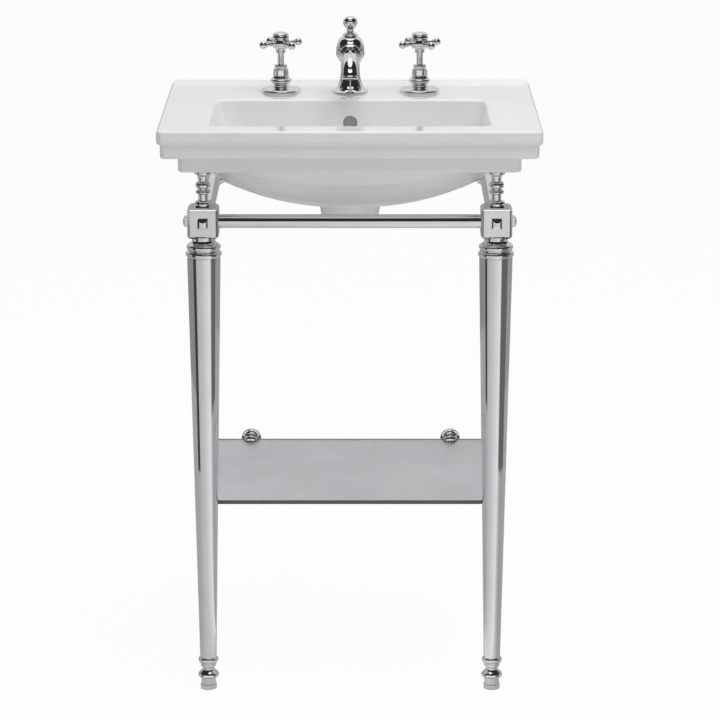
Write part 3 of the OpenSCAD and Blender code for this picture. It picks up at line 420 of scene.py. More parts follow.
@dataclass(frozen=True)
class Plan:
    """Level outline of the china at one height, in millimetres.

    With a power it is a squarish oval about its centre, otherwise a rectangle with round corners.
    """

    half_x: float
    front: float
    back: float
    height: float
    front_radius: float = 9.0
    back_radius: float = 4.0
    power: float = 0.0

    CORNER_STEPS = 12
    LONG_STEPS = 34
    SHORT_STEPS = 20
    GUIDE_RADIUS = 0.45

    def corners(self) -> list[Vector]:
        """Points of the round-cornered rectangle, round from the front left corner."""
        low, high = self.front_radius, self.back_radius
        hubs = ((-self.half_x + low, self.front + low, low, 180),
                (self.half_x - low, self.front + low, low, 270),
                (self.half_x - high, self.back - high, high, 0),
                (-self.half_x + high, self.back - high, high, 90))
        sweep = [90 * step / self.CORNER_STEPS for step in range(self.CORNER_STEPS + 1)]
        arcs = []
        for x, y, radius, start in hubs:
            turns = [math.radians(start + part) for part in sweep]
            arcs.append([Vector((x + radius * math.cos(turn), y + radius * math.sin(turn), self.height))
                         for turn in turns])
        points = []
        for index, arc in enumerate(arcs):
            following = arcs[(index + 1) % len(arcs)][0]
            steps = self.SHORT_STEPS if index % 2 else self.LONG_STEPS
            points += arc
            points += [arc[-1].lerp(following, step / steps) for step in range(1, steps)]
        return points

    def points(self) -> list[Vector]:
        """Points of the outline, always the same number in the same order."""
        if not self.power:
            return self.corners()
        middle = Vector((0, (self.front + self.back) / 2, self.height))
        half_y = (self.back - self.front) / 2
        guide = Plan(1.0, -1.0, 1.0, 0.0, self.GUIDE_RADIUS, self.GUIDE_RADIUS)
        oval = []
        for point in guide.corners():
            angle = math.atan2(point.y, point.x)
            along, across = math.cos(angle), math.sin(angle)
            reach = (abs(along) ** self.power + abs(across) ** self.power) ** (-1 / self.power)
            oval.append(middle + Vector((self.half_x * along * reach, half_y * across * reach, 0)))
        return oval


def finished(blank: bmesh.types.BMesh, weld: float = 0.0005) -> bmesh.types.BMesh:
    """Welds a blank's doubles and points its faces outwards.

    Args:
        blank: The blank, in millimetres.
        weld: Distance within which points are one.

    Returns:
        The same blank.
    """
    bmesh.ops.remove_doubles(blank, verts=blank.verts, dist=weld)
    bmesh.ops.dissolve_degenerate(blank, edges=blank.edges, dist=weld)
    bmesh.ops.recalc_face_normals(blank, faces=blank.faces)
    return blank


def turned(outline: Outline, bore: float = 0.0, steps: int = 96) -> bmesh.types.BMesh:
    """Solid of revolution about Z.

    Args:
        outline: Its outer side, run upwards.
        bore: Radius of the hole through it, or 0 for a solid one.
        steps: Sides of its circle.

    Returns:
        The blank.
    """
    blank = bmesh.new()
    points = [(bore, outline.points[0][1]), *outline.points, (bore, outline.points[-1][1])]
    wire = [blank.verts.new((radius, 0, height)) for radius, height in points]
    edges = [blank.edges.new(pair) for pair in zip(wire, wire[1:])]
    if bore:
        edges.append(blank.edges.new((wire[-1], wire[0])))
    bmesh.ops.spin(blank, geom=wire + edges, cent=(0, 0, 0), axis=(0, 0, 1), angle=FULL_TURN,
                   steps=steps, use_merge=True)
    return finished(blank)


def rod(radius: float, start: float, end: float, ease: float = 0.3, bore: float = 0.0,
        steps: int = 64) -> bmesh.types.BMesh:
    """Round bar or tube along Z with eased ends."""
    outline = Outline(radius - ease, start).quarter(radius, start + ease, Bend.LEVEL, 4)
    outline.line((radius, end - ease)).quarter(radius - ease, end, Bend.UPRIGHT, 4)
    return turned(outline, bore, steps)


def beveled(blank: bmesh.types.BMesh, edges: Sequence[bmesh.types.BMEdge], ease: float,
            segments: int = 3) -> None:
    """Rounds some edges of a blank.

    Args:
        blank: The blank.
        edges: The edges to round.
        ease: Radius of the rounding.
        segments: Faces across each edge.
    """
    bmesh.ops.bevel(blank, geom=edges, offset=ease, segments=segments, profile=0.5, affect="EDGES",
                    material=-1)


def slab(low: Sequence[float], high: Sequence[float], ease: float = 0.0) -> bmesh.types.BMesh:
    """Box between two corners, with its edges rounded to a radius."""
    blank = bmesh.new()
    bmesh.ops.create_cube(blank, size=1.0)
    low, high = Vector(low), Vector(high)
    bmesh.ops.scale(blank, vec=high - low, verts=blank.verts)
    bmesh.ops.translate(blank, vec=(low + high) / 2, verts=blank.verts)
    if ease:
        beveled(blank, blank.edges, ease)
    return finished(blank)


def lofted(plans: Sequence[Plan]) -> bmesh.types.BMesh:
    """Closed solid through level outlines, from the first to the last.

    Args:
        plans: The outlines; the first and the last are capped.

    Returns:
        The blank.
    """
    blank = bmesh.new()
    first = plans[0].points()
    ring = bmesh.ops.create_circle(blank, segments=len(first), radius=1.0)["verts"]
    edges = list(blank.edges)
    for vert, point in zip(ring, first):
        vert.co = point
    bmesh.ops.contextual_create(blank, geom=edges)
    for plan in plans[1:]:
        grown = bmesh.ops.extrude_edge_only(blank, edges=edges)["geom"]
        fresh = {item for item in grown if isinstance(item, bmesh.types.BMVert)}
        edges = [item for item in grown if isinstance(item, bmesh.types.BMEdge)
                 and item.verts[0] in fresh and item.verts[1] in fresh]
        ring = [next(edge.other_vert(vert) for edge in vert.link_edges if edge.other_vert(vert) in fresh)
                for vert in ring]
        for vert, point in zip(ring, plan.points()):
            vert.co = point
    bmesh.ops.contextual_create(blank, geom=edges)
    return finished(blank)


def to_mesh(blank: bmesh.types.BMesh, scale: float = 1.0) -> bpy.types.Mesh:
    """Turns a blank into a mesh, at a scale."""
    if scale != 1.0:
        bmesh.ops.scale(blank, vec=(scale,) * 3, verts=blank.verts)
    mesh = bpy.data.meshes.new("blank")
    blank.to_mesh(mesh)
    blank.free()
    return mesh


def carved(blank: bmesh.types.BMesh, tool: bmesh.types.BMesh,
           operation: str = "DIFFERENCE") -> bmesh.types.BMesh:
    """Cuts a tool out of a blank, or joins the two.

    Args:
        blank: The blank.
        tool: The solid to cut out or to join on.
        operation: Name of the Boolean operation.

    Returns:
        The new blank.
    """
    work = bpy.data.objects.new("work", to_mesh(blank, MM))
    cutter = bpy.data.objects.new("cutter", to_mesh(tool, MM))
    for item in (work, cutter):
        bpy.context.scene.collection.objects.link(item)
    boolean = work.modifiers.new("boolean", "BOOLEAN")
    boolean.operation = operation
    boolean.solver = "EXACT"
    boolean.object = cutter
    graph = bpy.context.evaluated_depsgraph_get()
    mesh = bpy.data.meshes.new_from_object(work.evaluated_get(graph))
    result = bmesh.new()
    result.from_mesh(mesh)
    bmesh.ops.scale(result, vec=(1 / MM,) * 3, verts=result.verts)
    for item in (work, cutter):
        old = item.data
        bpy.data.objects.remove(item)
        bpy.data.meshes.remove(old)
    bpy.data.meshes.remove(mesh)
    return finished(result)


@dataclass
class Piece:
    """One visible piece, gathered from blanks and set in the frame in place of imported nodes."""

    name: str
    nodes: tuple[str, ...]
    body: Body = Body.STAND
    finish: Finish = CHROME
    smooth: float = 32.0
    finishes: list[Finish] = field(default_factory=list)
    gathered: bmesh.types.BMesh = field(default_factory=bmesh.new)

    def add(self, blank: bmesh.types.BMesh, *places: Matrix) -> "Piece":
        """Sets copies of a blank into the piece.

        Args:
            blank: The blank, in millimetres about its own axis.
            places: Where each copy goes, in millimetres; once as it stands if none is given.

        Returns:
            The piece itself.
        """
        mesh = to_mesh(blank)
        for place in places or (UPRIGHT,):
            copy = mesh.copy()
            copy.transform(place)
            self.gathered.from_mesh(copy)
            bpy.data.meshes.remove(copy)
        bpy.data.meshes.remove(mesh)
        return self

    def done(self) -> None:
        """Makes the object, dresses it and sets it on its body."""
        mesh = to_mesh(self.gathered, MM)
        mesh.name = self.name
        mesh.polygons.foreach_set("use_smooth", [True] * len(mesh.polygons))
        mesh.set_sharp_from_angle(angle=math.radians(self.smooth))
        for finish in self.finishes or [self.finish]:
            mesh.materials.append(finish.material())
        piece = bpy.data.objects.new(self.name, mesh)
        bpy.context.scene.collection.objects.link(piece)
        piece.modifiers.new("even_faces", "WEIGHTED_NORMAL").keep_sharp = True
        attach(piece, self.body.value)
        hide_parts(*self.nodes)
        LOG.info("%-20s %6d faces, on %s", self.name, len(mesh.polygons), self.body.value)


def at(x: float = 0.0, y: float = 0.0, z: float = 0.0) -> Matrix:
    """Place at a point, in millimetres, unturned."""
    return Matrix.Translation((x, y, z))


def turned_by(angle: float, axis: str) -> Matrix:
    """Turn about an axis, in degrees."""
    return Matrix.Rotation(math.radians(angle), 4, axis)


@dataclass(frozen=True)
class Place:
    """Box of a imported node, in millimetres."""

    low: Vector
    high: Vector

    @classmethod
    def of(cls, node: str) -> "Place":
        """The box of a node at rest."""
        low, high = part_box(node)
        return cls(low / MM, high / MM)

    @property
    def middle(self) -> Vector:
        """Middle of the box."""
        return (self.low + self.high) / 2

    @property
    def size(self) -> Vector:
        """Size of the box."""
        return self.high - self.low


# ---- china ---------------------------------------------------------------


@dataclass
class Basin:
    """China basin: deck, stepped fascia, bowl, belly and waste boss, in millimetres."""

    band_heights: tuple[float, float, float] = (21.0, 20.0, 24.0)
    band_insets: tuple[float, float, float] = (0.0, 5.0, 29.0)
    deck: float = 18.0
    skirt: float = 12.0
    back_wall: float = 15.0
    corner: float = 9.0
    back_corner: float = 4.0
    edge: float = 4.0
    ledge_depth: float = 19.0
    ledge_height: float = 4.5
    ledge_run: float = 11.0
    ledge_ease: float = 1.2
    bowl: tuple[float, float] = (403.0, 227.0)
    front_rim: float = 47.0
    bowl_depth: float = 112.0
    wall_depth: float = 58.0
    lean: float = 13.0
    floor_power: float = 2.4
    floor_sweep: float = 86.0
    floor_square: float = 2.2
    wall_square: float = 9.0
    rim_square: float = 20.0
    rim_round: float = 4.5
    bowl_wall: float = 8.0
    belly: tuple[float, float] = (448.0, 258.0)
    belly_shoulder: float = 37.0
    belly_drop: float = 139.0
    belly_lap: float = 6.0
    belly_wall: float = 4.0
    boss_radius: float = 41.0
    boss_spread: float = 8.0
    boss_height: float = 40.5
    overflow_radius: float = 10.5
    overflow_depth: float = 34.0
    seat_radius: float = 21.0
    well: tuple[float, float] = (32.0, 20.0)
    waste_bore: float = 22.5
    flange_recess: tuple[float, float] = (33.0, 3.5)
    tap_hole: float = 14.0
    bolt_hole: float = 7.0
    bolt_pitch: float = 280.0

    EDGE_STEPS = 6

    def __post_init__(self) -> None:
        """Reads the basin's box and works out its levels."""
        self.box = Place.of("basin")
        self.rim = self.box.high.z - self.ledge_height
        self.half_x = self.box.size.x / 2
        self.front, self.back = self.box.low.y, self.box.high.y
        self.skirt_z = self.rim - sum(self.band_heights)
        self.under = self.rim - self.deck
        self.bowl_y = self.front + self.front_rim + self.bowl[1] / 2
        self.floor = self.rim - self.bowl_depth

    def bowl_plan(self, half_x: float, half_y: float, height: float, power: float,
                  out: float = 0.0) -> Plan:
        """Outline of the bowl at a height.

        Args:
            half_x: Half length.
            half_y: Half width.
            height: Height of the outline.
            power: Squareness.
            out: Distance to push the outline outwards.

        Returns:
            The outline.
        """
        half_y += out
        return Plan(half_x + out, self.bowl_y - half_y, self.bowl_y + half_y, height, power=power)

    def bowl_plans(self, out: float = 0.0, top: float = 0.0, steps: int = 30) -> list[Plan]:
        """Outlines of the bowl from its floor to its rim, pushed outwards and down by a distance.

        Args:
            out: The distance.
            top: Height of the last outline.
            steps: Outlines between the floor and the upright wall.

        Returns:
            The outlines.
        """
        slope = math.tan(math.radians(self.lean))
        wide, deep = self.bowl[0] / 2, self.bowl[1] / 2
        turn_x, turn_y = wide - self.wall_depth * slope, deep - self.wall_depth * slope
        turn_z = self.rim - self.wall_depth
        plans = []
        for step in range(steps, -1, -1):
            angle = math.radians(self.floor_sweep * step / steps)
            plan = math.cos(angle) ** (2 / self.floor_power)
            drop = math.sin(angle) ** (2 / self.floor_power)
            height = turn_z - (turn_z - self.floor) * drop - out
            power = self.wall_square - (self.wall_square - self.floor_square) * drop
            plans.append(self.bowl_plan(turn_x * plan, turn_y * plan, height, power, out))
        last = top or self.rim - self.rim_round
        for share in (0.2, 0.4, 0.6, 0.8, 1.0):
            rise = (last - turn_z) * share
            power = self.wall_square + (self.rim_square - self.wall_square) * share
            plans.append(self.bowl_plan(turn_x + rise * slope, turn_y + rise * slope, turn_z + rise,
                                        power, out))
        return plans

    def band_plan(self, inset: float, height: float, radius: float = 9.0, back_inset: float = 0.0) -> Plan:
        """Outline of the fascia at a height, set back from the front and the sides."""
        return Plan(self.half_x - inset, self.front + inset, self.back - back_inset, height, radius,
                    self.back_corner)

    def eased(self, inset: float, height: float, toward: tuple[float, float],
              beyond: float = 1.0) -> list[Plan]:
        """Outlines round an edge of the fascia, from upright to level.

        Args:
            inset: Set-back where the edge starts.
            height: Height where the edge starts.
            toward: Change of set-back and of height across the edge.
            beyond: How far a last outline lies on the level face, or 0 for none.

        Returns:
            The outlines.
        """
        across, up = toward
        plans = [self.band_plan(inset, height - math.copysign(1.0, up))]
        for step in range(self.EDGE_STEPS + 1):
            angle = math.pi / 2 * step / self.EDGE_STEPS
            more = across * (1 - math.cos(angle))
            plans.append(self.band_plan(inset + more, height + up * math.sin(angle), self.corner - more))
        if beyond:
            more = across + beyond
            plans.append(self.band_plan(inset + more, height + up, self.corner - more))
        return plans

    def casting(self) -> bmesh.types.BMesh:
        """Bowl, deck and fascia as one closed shell."""
        bands = len(self.band_heights)
        tops = [self.rim - sum(self.band_heights[:index]) for index in range(bands + 1)]
        inner = self.band_insets[2] + self.skirt
        plans = self.bowl_plans()
        last = plans[-1]
        for step in range(1, self.EDGE_STEPS + 1):
            angle = math.pi / 2 * step / self.EDGE_STEPS
            out = self.rim_round * (1 - math.cos(angle))
            plans.append(Plan(last.half_x + out, last.front - out, last.back + out,
                              self.rim - self.rim_round * (1 - math.sin(angle)), power=self.rim_square))
        flat = self.rim_round + 1.0
        plans.append(Plan(last.half_x + flat, last.front - flat, last.back + flat, self.rim,
                          power=self.rim_square))
        edge = self.edge
        plans += reversed(self.eased(0.0, self.rim - edge, (edge, edge)))
        plans += self.eased(0.0, tops[1] + 6, (5, -5.9), 0.0)
        plans += self.eased(self.band_insets[1], tops[2] + edge, (edge, -edge))
        plans.append(self.band_plan(self.band_insets[2] - 1.5, tops[2], 10.5))
        plans.append(self.band_plan(self.band_insets[2] - 0.4, tops[2] - 0.4, 9.4))
        plans.append(self.band_plan(self.band_insets[2], tops[2] - 1.5))
        plans += self.eased(self.band_insets[2], tops[3] + edge, (edge, -edge))
        plans += [self.band_plan(inner - 2, tops[3], 5, self.back_wall - 2),
                  self.band_plan(inner, tops[3] + 2, 4, self.back_wall),
                  self.band_plan(inner, self.under, 4, self.back_wall)]
        plans += reversed(self.bowl_plans(self.bowl_wall, self.under, 8))
        return lofted(plans)

    def belly_shell(self) -> bmesh.types.BMesh:
        """Belly: the outer form of the bowl under the deck."""
        top = self.rim - self.belly_shoulder
        bottom = self.rim - self.belly_drop
        plans = []
        steps = 34
        for step in range(1, steps + 1):
            angle = math.radians(90 * step / steps)
            grow = math.sin(angle)
            plans.append(self.bowl_plan(self.belly[0] / 2 * grow, self.belly[1] / 2 * grow,
                                        top - (top - bottom) * math.cos(angle), 2.2 + 2.4 * grow ** 6))
        shoulder = self.under + self.belly_lap
        plans.append(self.bowl_plan(self.belly[0] / 2 + 1, self.belly[1] / 2 + 1, shoulder, 4.6))
        plans += reversed(self.bowl_plans(self.belly_wall, shoulder, 8))
        return lofted(plans)

    def boss(self) -> bmesh.types.BMesh:
        """Boss round the waste, flaring up into the belly."""
        low, radius = self.box.low.z, self.boss_radius
        outline = Outline(radius - 2, low).quarter(radius + 0.4, low + 2.2, Bend.LEVEL, 6)
        outline.line((radius + self.boss_spread, low + self.boss_height))
        return turned(outline, steps=WIDE_STEPS)

    def ledge(self) -> bmesh.types.BMesh:
        """Low ledge along the wall, sloping down to the deck."""
        end = self.half_x - self.edge
        blank = slab((-end, self.back - self.ledge_depth, self.rim - 1.5),
                     (end, self.back - 0.4, self.rim + self.ledge_height))
        crest = [vert for vert in blank.verts if vert.co.z > self.rim and vert.co.y < self.back - 1]
        bmesh.ops.translate(blank, vec=(0, self.ledge_run, 0), verts=crest)
        beveled(blank, blank.edges, self.ledge_ease)
        return finished(blank)

    def tools(self) -> list[tuple[bmesh.types.BMesh, Matrix]]:
        """Cutters for the waste, the overflow, the taps, the wall bolts and the lever."""
        low, floor, bore = self.box.low.z, self.floor, self.waste_bore
        (well, under), (recess, sunk) = self.well, self.flange_recess
        waste = Outline(well, low - 5).line((well, floor - under), (bore, floor - under))
        waste.line((bore, floor - sunk), (recess, floor - sunk), (recess, floor + 6))
        radius = self.overflow_radius
        mouth = Outline(radius, -16).line((radius, -1.5))
        mouth.quarter(radius + 2.2, 1.1, Bend.UPRIGHT, 6).line((radius + 2.2, 6))
        overflow_z = self.rim - self.overflow_depth
        wall = self.bowl_y + self.bowl[1] / 2 - self.overflow_depth * math.tan(math.radians(self.lean))
        channel = slab((-15, wall + 7, floor + 50), (15, wall + 14, overflow_z + 9), 3)
        taps = [Place.of(node).middle for node in ("hot_rose", "spout_body", "cold_rose")]
        holes = [(rod(self.tap_hole, -60, 20), at(tap.x, taps[0].y, self.rim)) for tap in taps]
        bolt_z = (self.skirt_z + self.under) / 2
        bolts = [(rod(self.bolt_hole, -30, 30),
                  at(side * self.bolt_pitch / 2, self.back, bolt_z) @ turned_by(90, "X")) for side in (-1, 1)]
        lever = slab((-9.8, self.bowl_y, low - 5), (9.8, self.bowl_y + 60, Place.of("ball_nut").high.z + 2))
        return [(turned(waste), at(0, self.bowl_y, 0)),
                (turned(mouth), at(0, wall, overflow_z) @ turned_by(90 - self.lean, "X")),
                (channel, UPRIGHT), *holes, *bolts, (lever, UPRIGHT)]

    def make(self) -> None:
        """Makes the basin in one piece."""
        leg = Place.of("leg_right").middle
        body = carved(self.casting(), self.belly_shell(), "UNION")
        boss = self.boss()
        bmesh.ops.translate(boss, vec=(0, self.bowl_y, 0), verts=boss.verts)
        body = carved(body, boss, "UNION")
        body = carved(body, self.ledge(), "UNION")
        for side in (-1, 1):
            seat = rod(self.seat_radius, self.skirt_z, self.under + 4, 1.0)
            bmesh.ops.translate(seat, vec=(side * leg.x, leg.y, 0), verts=seat.verts)
            body = carved(body, seat, "UNION")
        for tool, place in self.tools():
            bmesh.ops.transform(tool, matrix=place, verts=tool.verts)
            body = carved(body, tool)
        Piece("china_basin", ("basin",), Body.STAND, CHINA, smooth=24).add(body).done()


# ---- taps ----------------------------------------------------------------


@dataclass
class Valve:
    """One deck valve with its cross handle, in millimetres above the deck."""

    side: str
    body: Body
    rose_radius: float = 30.0
    rose_thickness: float = 6.5
    rose_bore: float = 12.55
    hub_radius: float = 13.0
    hub_bore: float = 7.05
    hub_rise: float = 12.5
    stem_radius: float = 4.75
    handle_z: float = 60.0
    arm_z: float = 74.0
    arm_reach: float = 31.0
    arm_turn: float = 33.0
    ball: float = 5.9

    def __post_init__(self) -> None:
        """Finds the valve's axis on the deck."""
        box = Place.of(f"{self.side}_rose")
        self.axis = at(box.middle.x, box.middle.y, box.low.z)

    def rose(self) -> None:
        """Round rose on the deck."""
        radius, thick = self.rose_radius, self.rose_thickness
        outline = Outline(radius - 0.8, 0).quarter(radius, 0.8, Bend.LEVEL, 3).line((radius, thick * 0.45))
        outline.quarter(radius - 7.5, thick, Bend.UPRIGHT, 12)
        Piece(f"{self.side}_valve_rose", (f"{self.side}_rose",)).add(
            turned(outline, self.rose_bore), self.axis).done()

    def shroud(self) -> None:
        """Turned shroud: foot, ring, tapering neck and top collar."""
        foot = self.rose_thickness
        outline = Outline(14, foot).quarter(11.7, foot + 3.0, Bend.LEVEL, 6).line((11.7, foot + 4.0))
        outline.ogee(13.1, foot + 7.0).line((13.3, foot + 8.0))
        outline.bead(13.3, foot + 14.2, 2.75).line((12.75, foot + 14.4), (12.75, foot + 15.3))
        for height, radius in ((25.4, 11.8), (35.0, 11.1)):
            outline.line((radius, height - 0.7), (radius - 1.0, height - 0.3), (radius - 1.0, height + 0.3),
                         (radius - 0.2, height + 0.7))
        outline.line((9.9, 36.6), (9.0, 37.2)).bead(9.0, 41.6, 0.5).line((7.4, 42.0))
        Piece(f"{self.side}_valve_shroud", (f"{self.side}_shroud",)).add(
            turned(outline.softened(0.5), self.stem_radius + 0.05), self.axis).done()

    def stem(self) -> None:
        """Stem between the shroud and the handle."""
        radius, low = self.stem_radius, self.handle_z
        outline = Outline(3.9, -48).line((3.9, 37), (radius, 37), (radius, low), (3.9, low), (3.9, 75))
        Piece(f"{self.side}_valve_stem", (f"{self.side}_spindle",), self.body).add(
            turned(outline.softened(0.3), steps=64), self.axis).done()

    def hub(self) -> bmesh.types.BMesh:
        """Hub of the cross handle with its neck collar."""
        low, arms, radius = self.handle_z, self.arm_z, self.hub_radius
        outline = Outline(5.6, low).line((6.7, low)).bead(6.7, low + 2.6, 0.45, 8)
        outline.line((6.3, low + 3.0), (6.3, low + 5.6)).quarter(radius - 0.7, low + 10.4, Bend.LEVEL, 8)
        outline.ogee(radius, arms, 6).ogee(radius - 0.5, arms + 6.2, 6)
        outline.line((radius - 1.2, arms + 7.2), (radius - 1.2, arms + 8.6), (radius - 0.5, arms + 9.2))
        outline.quarter(radius - 1.9, arms + self.hub_rise, Bend.UPRIGHT, 5)
        return turned(outline.softened(0.4), self.hub_bore)

    def arm(self) -> bmesh.types.BMesh:
        """One arm: taper, ring and ball, along Z from the axis."""
        outline = Outline(4.6, self.hub_radius - 4).line((4.4, self.hub_radius - 0.4))
        outline.quarter(3.1, self.hub_radius + 3.2, Bend.LEVEL, 6)
        outline.line((2.75, self.arm_reach - 8.2)).bead(2.75, self.arm_reach - 6.2, 1.25, 8)
        outline.line((2.5, self.arm_reach - 5.6))
        start = math.acos(2.5 / self.ball)
        steps = 18
        for step in range(steps + 1):
            angle = -start + (math.pi / 2 + start) * step / steps
            outline.line((self.ball * math.cos(angle), self.arm_reach + self.ball * math.sin(angle)))
        return turned(outline, steps=48)

    def handle(self) -> None:
        """Cross handle with four ball-ended arms."""
        piece = Piece(f"{self.side}_cross_handle", (f"{self.side}_handle",), self.body)
        piece.add(self.hub(), self.axis)
        level = self.axis @ at(0, 0, self.arm_z)
        piece.add(self.arm(), *(level @ turned_by(self.arm_turn + turn, "Z") @ turned_by(90, "Y")
                                for turn in (0, 90, 180, 270)))
        piece.done()

    def cap(self) -> None:
        """Domed cap that closes the hub over its screw."""
        top, radius = self.arm_z + self.hub_rise, self.hub_radius - 1.0
        outline = Outline(7, top - 4).line((7, top), (radius - 0.6, top))
        outline.quarter(radius, top + 0.7, Bend.LEVEL, 3).line((radius, top + 1.1))
        outline.quarter(0.6, top + 5.0, Bend.UPRIGHT, 14)
        Piece(f"{self.side}_handle_button", (f"{self.side}_handle_cap",), self.body).add(
            turned(outline), self.axis).done()

    def make(self) -> None:
        """Makes every piece of the valve."""
        self.rose()
        self.shroud()
        self.stem()
        self.handle()
        self.cap()


@dataclass
class Spout:
    """Spout with its arm, collar and lift knob, in millimetres above the deck."""

    bell: float = 27.0
    waist: float = 13.9
    waist_z: float = 38.0
    urn: float = 21.5
    urn_z: float = 59.0
    top: float = 84.0
    arm_radius: float = 12.0
    bore: float = 9.0
    root: float = 12.0
    run: float = 76.5
    elbow: float = 30.0
    elbow_angle: float = 80.0
    rod_hole: float = 4.25
    tail: tuple[float, float] = (10.0, 46.0)
    tail_bore: float = 8.0

    ARM_STEPS = 72

    def __post_init__(self) -> None:
        """Finds the spout's axis on the deck."""
        box = Place.of("spout_collar")
        self.axis = at(box.middle.x, box.middle.y, box.low.z - self.top)
        self.arm_z = self.urn_z + 1

    def column(self) -> None:
        """Bell, waist and urn, with the ring at the arm's root."""
        outline = Outline(self.bell - 0.5, 0).quarter(self.bell, 0.5, Bend.LEVEL, 3).line((self.bell, 2.2))
        outline.quarter(self.waist, self.waist_z, Bend.LEVEL, 22)
        outline.bead(self.waist, self.waist_z + 2.6, 0.9, 8)
        outline.ogee(self.urn, self.urn_z, 18).quarter(self.waist - 2.4, self.top, Bend.UPRIGHT, 18)
        ring = Outline(13.0, 4).line((15.2, 19.2)).bead(14.6, 23.4, 0.9, 10).line((12.4, 24.4))
        piece = Piece("spout_column", ("spout_body",))
        piece.add(turned(outline.softened(0.5), self.rod_hole, WIDE_STEPS), self.axis)
        piece.add(turned(ring.softened(0.4), 12.05), self.axis @ at(0, 0, self.arm_z) @ turned_by(90, "X"))
        radius, length = self.tail
        piece.add(rod(radius, -length, 0.2, bore=self.tail_bore), self.axis)
        piece.done()

    def arm(self) -> None:
        """Tube that runs forward and turns down to the outlet."""
        blank = bmesh.new()
        for radius in (self.arm_radius, self.bore):
            circle = bmesh.ops.create_circle(blank, segments=self.ARM_STEPS, radius=radius,
                                             matrix=turned_by(90, "X"))
            bmesh.ops.translate(blank, vec=(0, -self.root, 0), verts=circle["verts"])
        edges = list(blank.edges)
        bmesh.ops.bridge_loops(blank, edges=edges)
        straight = bmesh.ops.extrude_edge_only(blank, edges=edges)["geom"]
        bmesh.ops.translate(blank, vec=(0, self.root - self.run, 0),
                            verts=[item for item in straight if isinstance(item, bmesh.types.BMVert)])
        ring = [item for item in straight if isinstance(item, bmesh.types.BMEdge)
                and all(abs(vert.co.y + self.run) < 0.01 for vert in item.verts)]
        bend = bmesh.ops.spin(blank, geom=ring, cent=(0, -self.run, -self.elbow), axis=(1, 0, 0),
                              angle=math.radians(self.elbow_angle), steps=28)["geom_last"]
        bmesh.ops.bridge_loops(blank, edges=[item for item in bend if isinstance(item, bmesh.types.BMEdge)])
        lip = Outline(self.arm_radius - 0.3, -6.2).line((self.arm_radius + 0.1, -5.6))
        lip.bead(self.arm_radius + 0.15, -1.6, 0.8, 10).quarter(10.6, -0.1, Bend.UPRIGHT, 6)
        outlet = (at(0, -self.run, -self.elbow) @ turned_by(self.elbow_angle, "X") @ at(0, 0, self.elbow)
                  @ turned_by(90, "X"))
        level = self.axis @ at(0, 0, self.arm_z)
        piece = Piece("spout_arm_tube", ("spout_arm",))
        piece.add(finished(blank), level).add(turned(lip, 10.05, self.ARM_STEPS), level @ outlet)
        piece.done()

    def collar(self) -> None:
        """Collar on top of the column."""
        outline = Outline(11.4, self.top).quarter(9.6, self.top + 1.5, Bend.LEVEL, 4)
        outline.bead(9.6, self.top + 4.4, 1.9, 12).quarter(5.2, self.top + 6.7, Bend.UPRIGHT, 8)
        Piece("spout_top_collar", ("spout_collar",)).add(
            turned(outline, 2.55), self.axis).done()

    def knob(self) -> None:
        """Tulip-shaped knob of the pop-up waste."""
        low = Place.of("lift_knob").low.z - Place.of("spout_collar").low.z + self.top
        outline = Outline(4.6, low).bead(4.9, low + 2.0, 0.7, 8).ogee(10.9, low + 14.6, 16)
        outline.line((11.0, low + 15.4), (10.4, low + 16.0), (10.4, low + 17.0))
        outline.quarter(2.6, low + 24.0, Bend.UPRIGHT, 14)
        Piece("lift_knob_tulip", ("lift_knob",), Body.LIFT).add(
            turned(outline.softened(0.4)), self.axis).done()

    def make(self) -> None:
        """Makes every piece of the spout."""
        self.column()
        self.arm()
        self.collar()
        self.knob()


# ---- stand ---------------------------------------------------------------


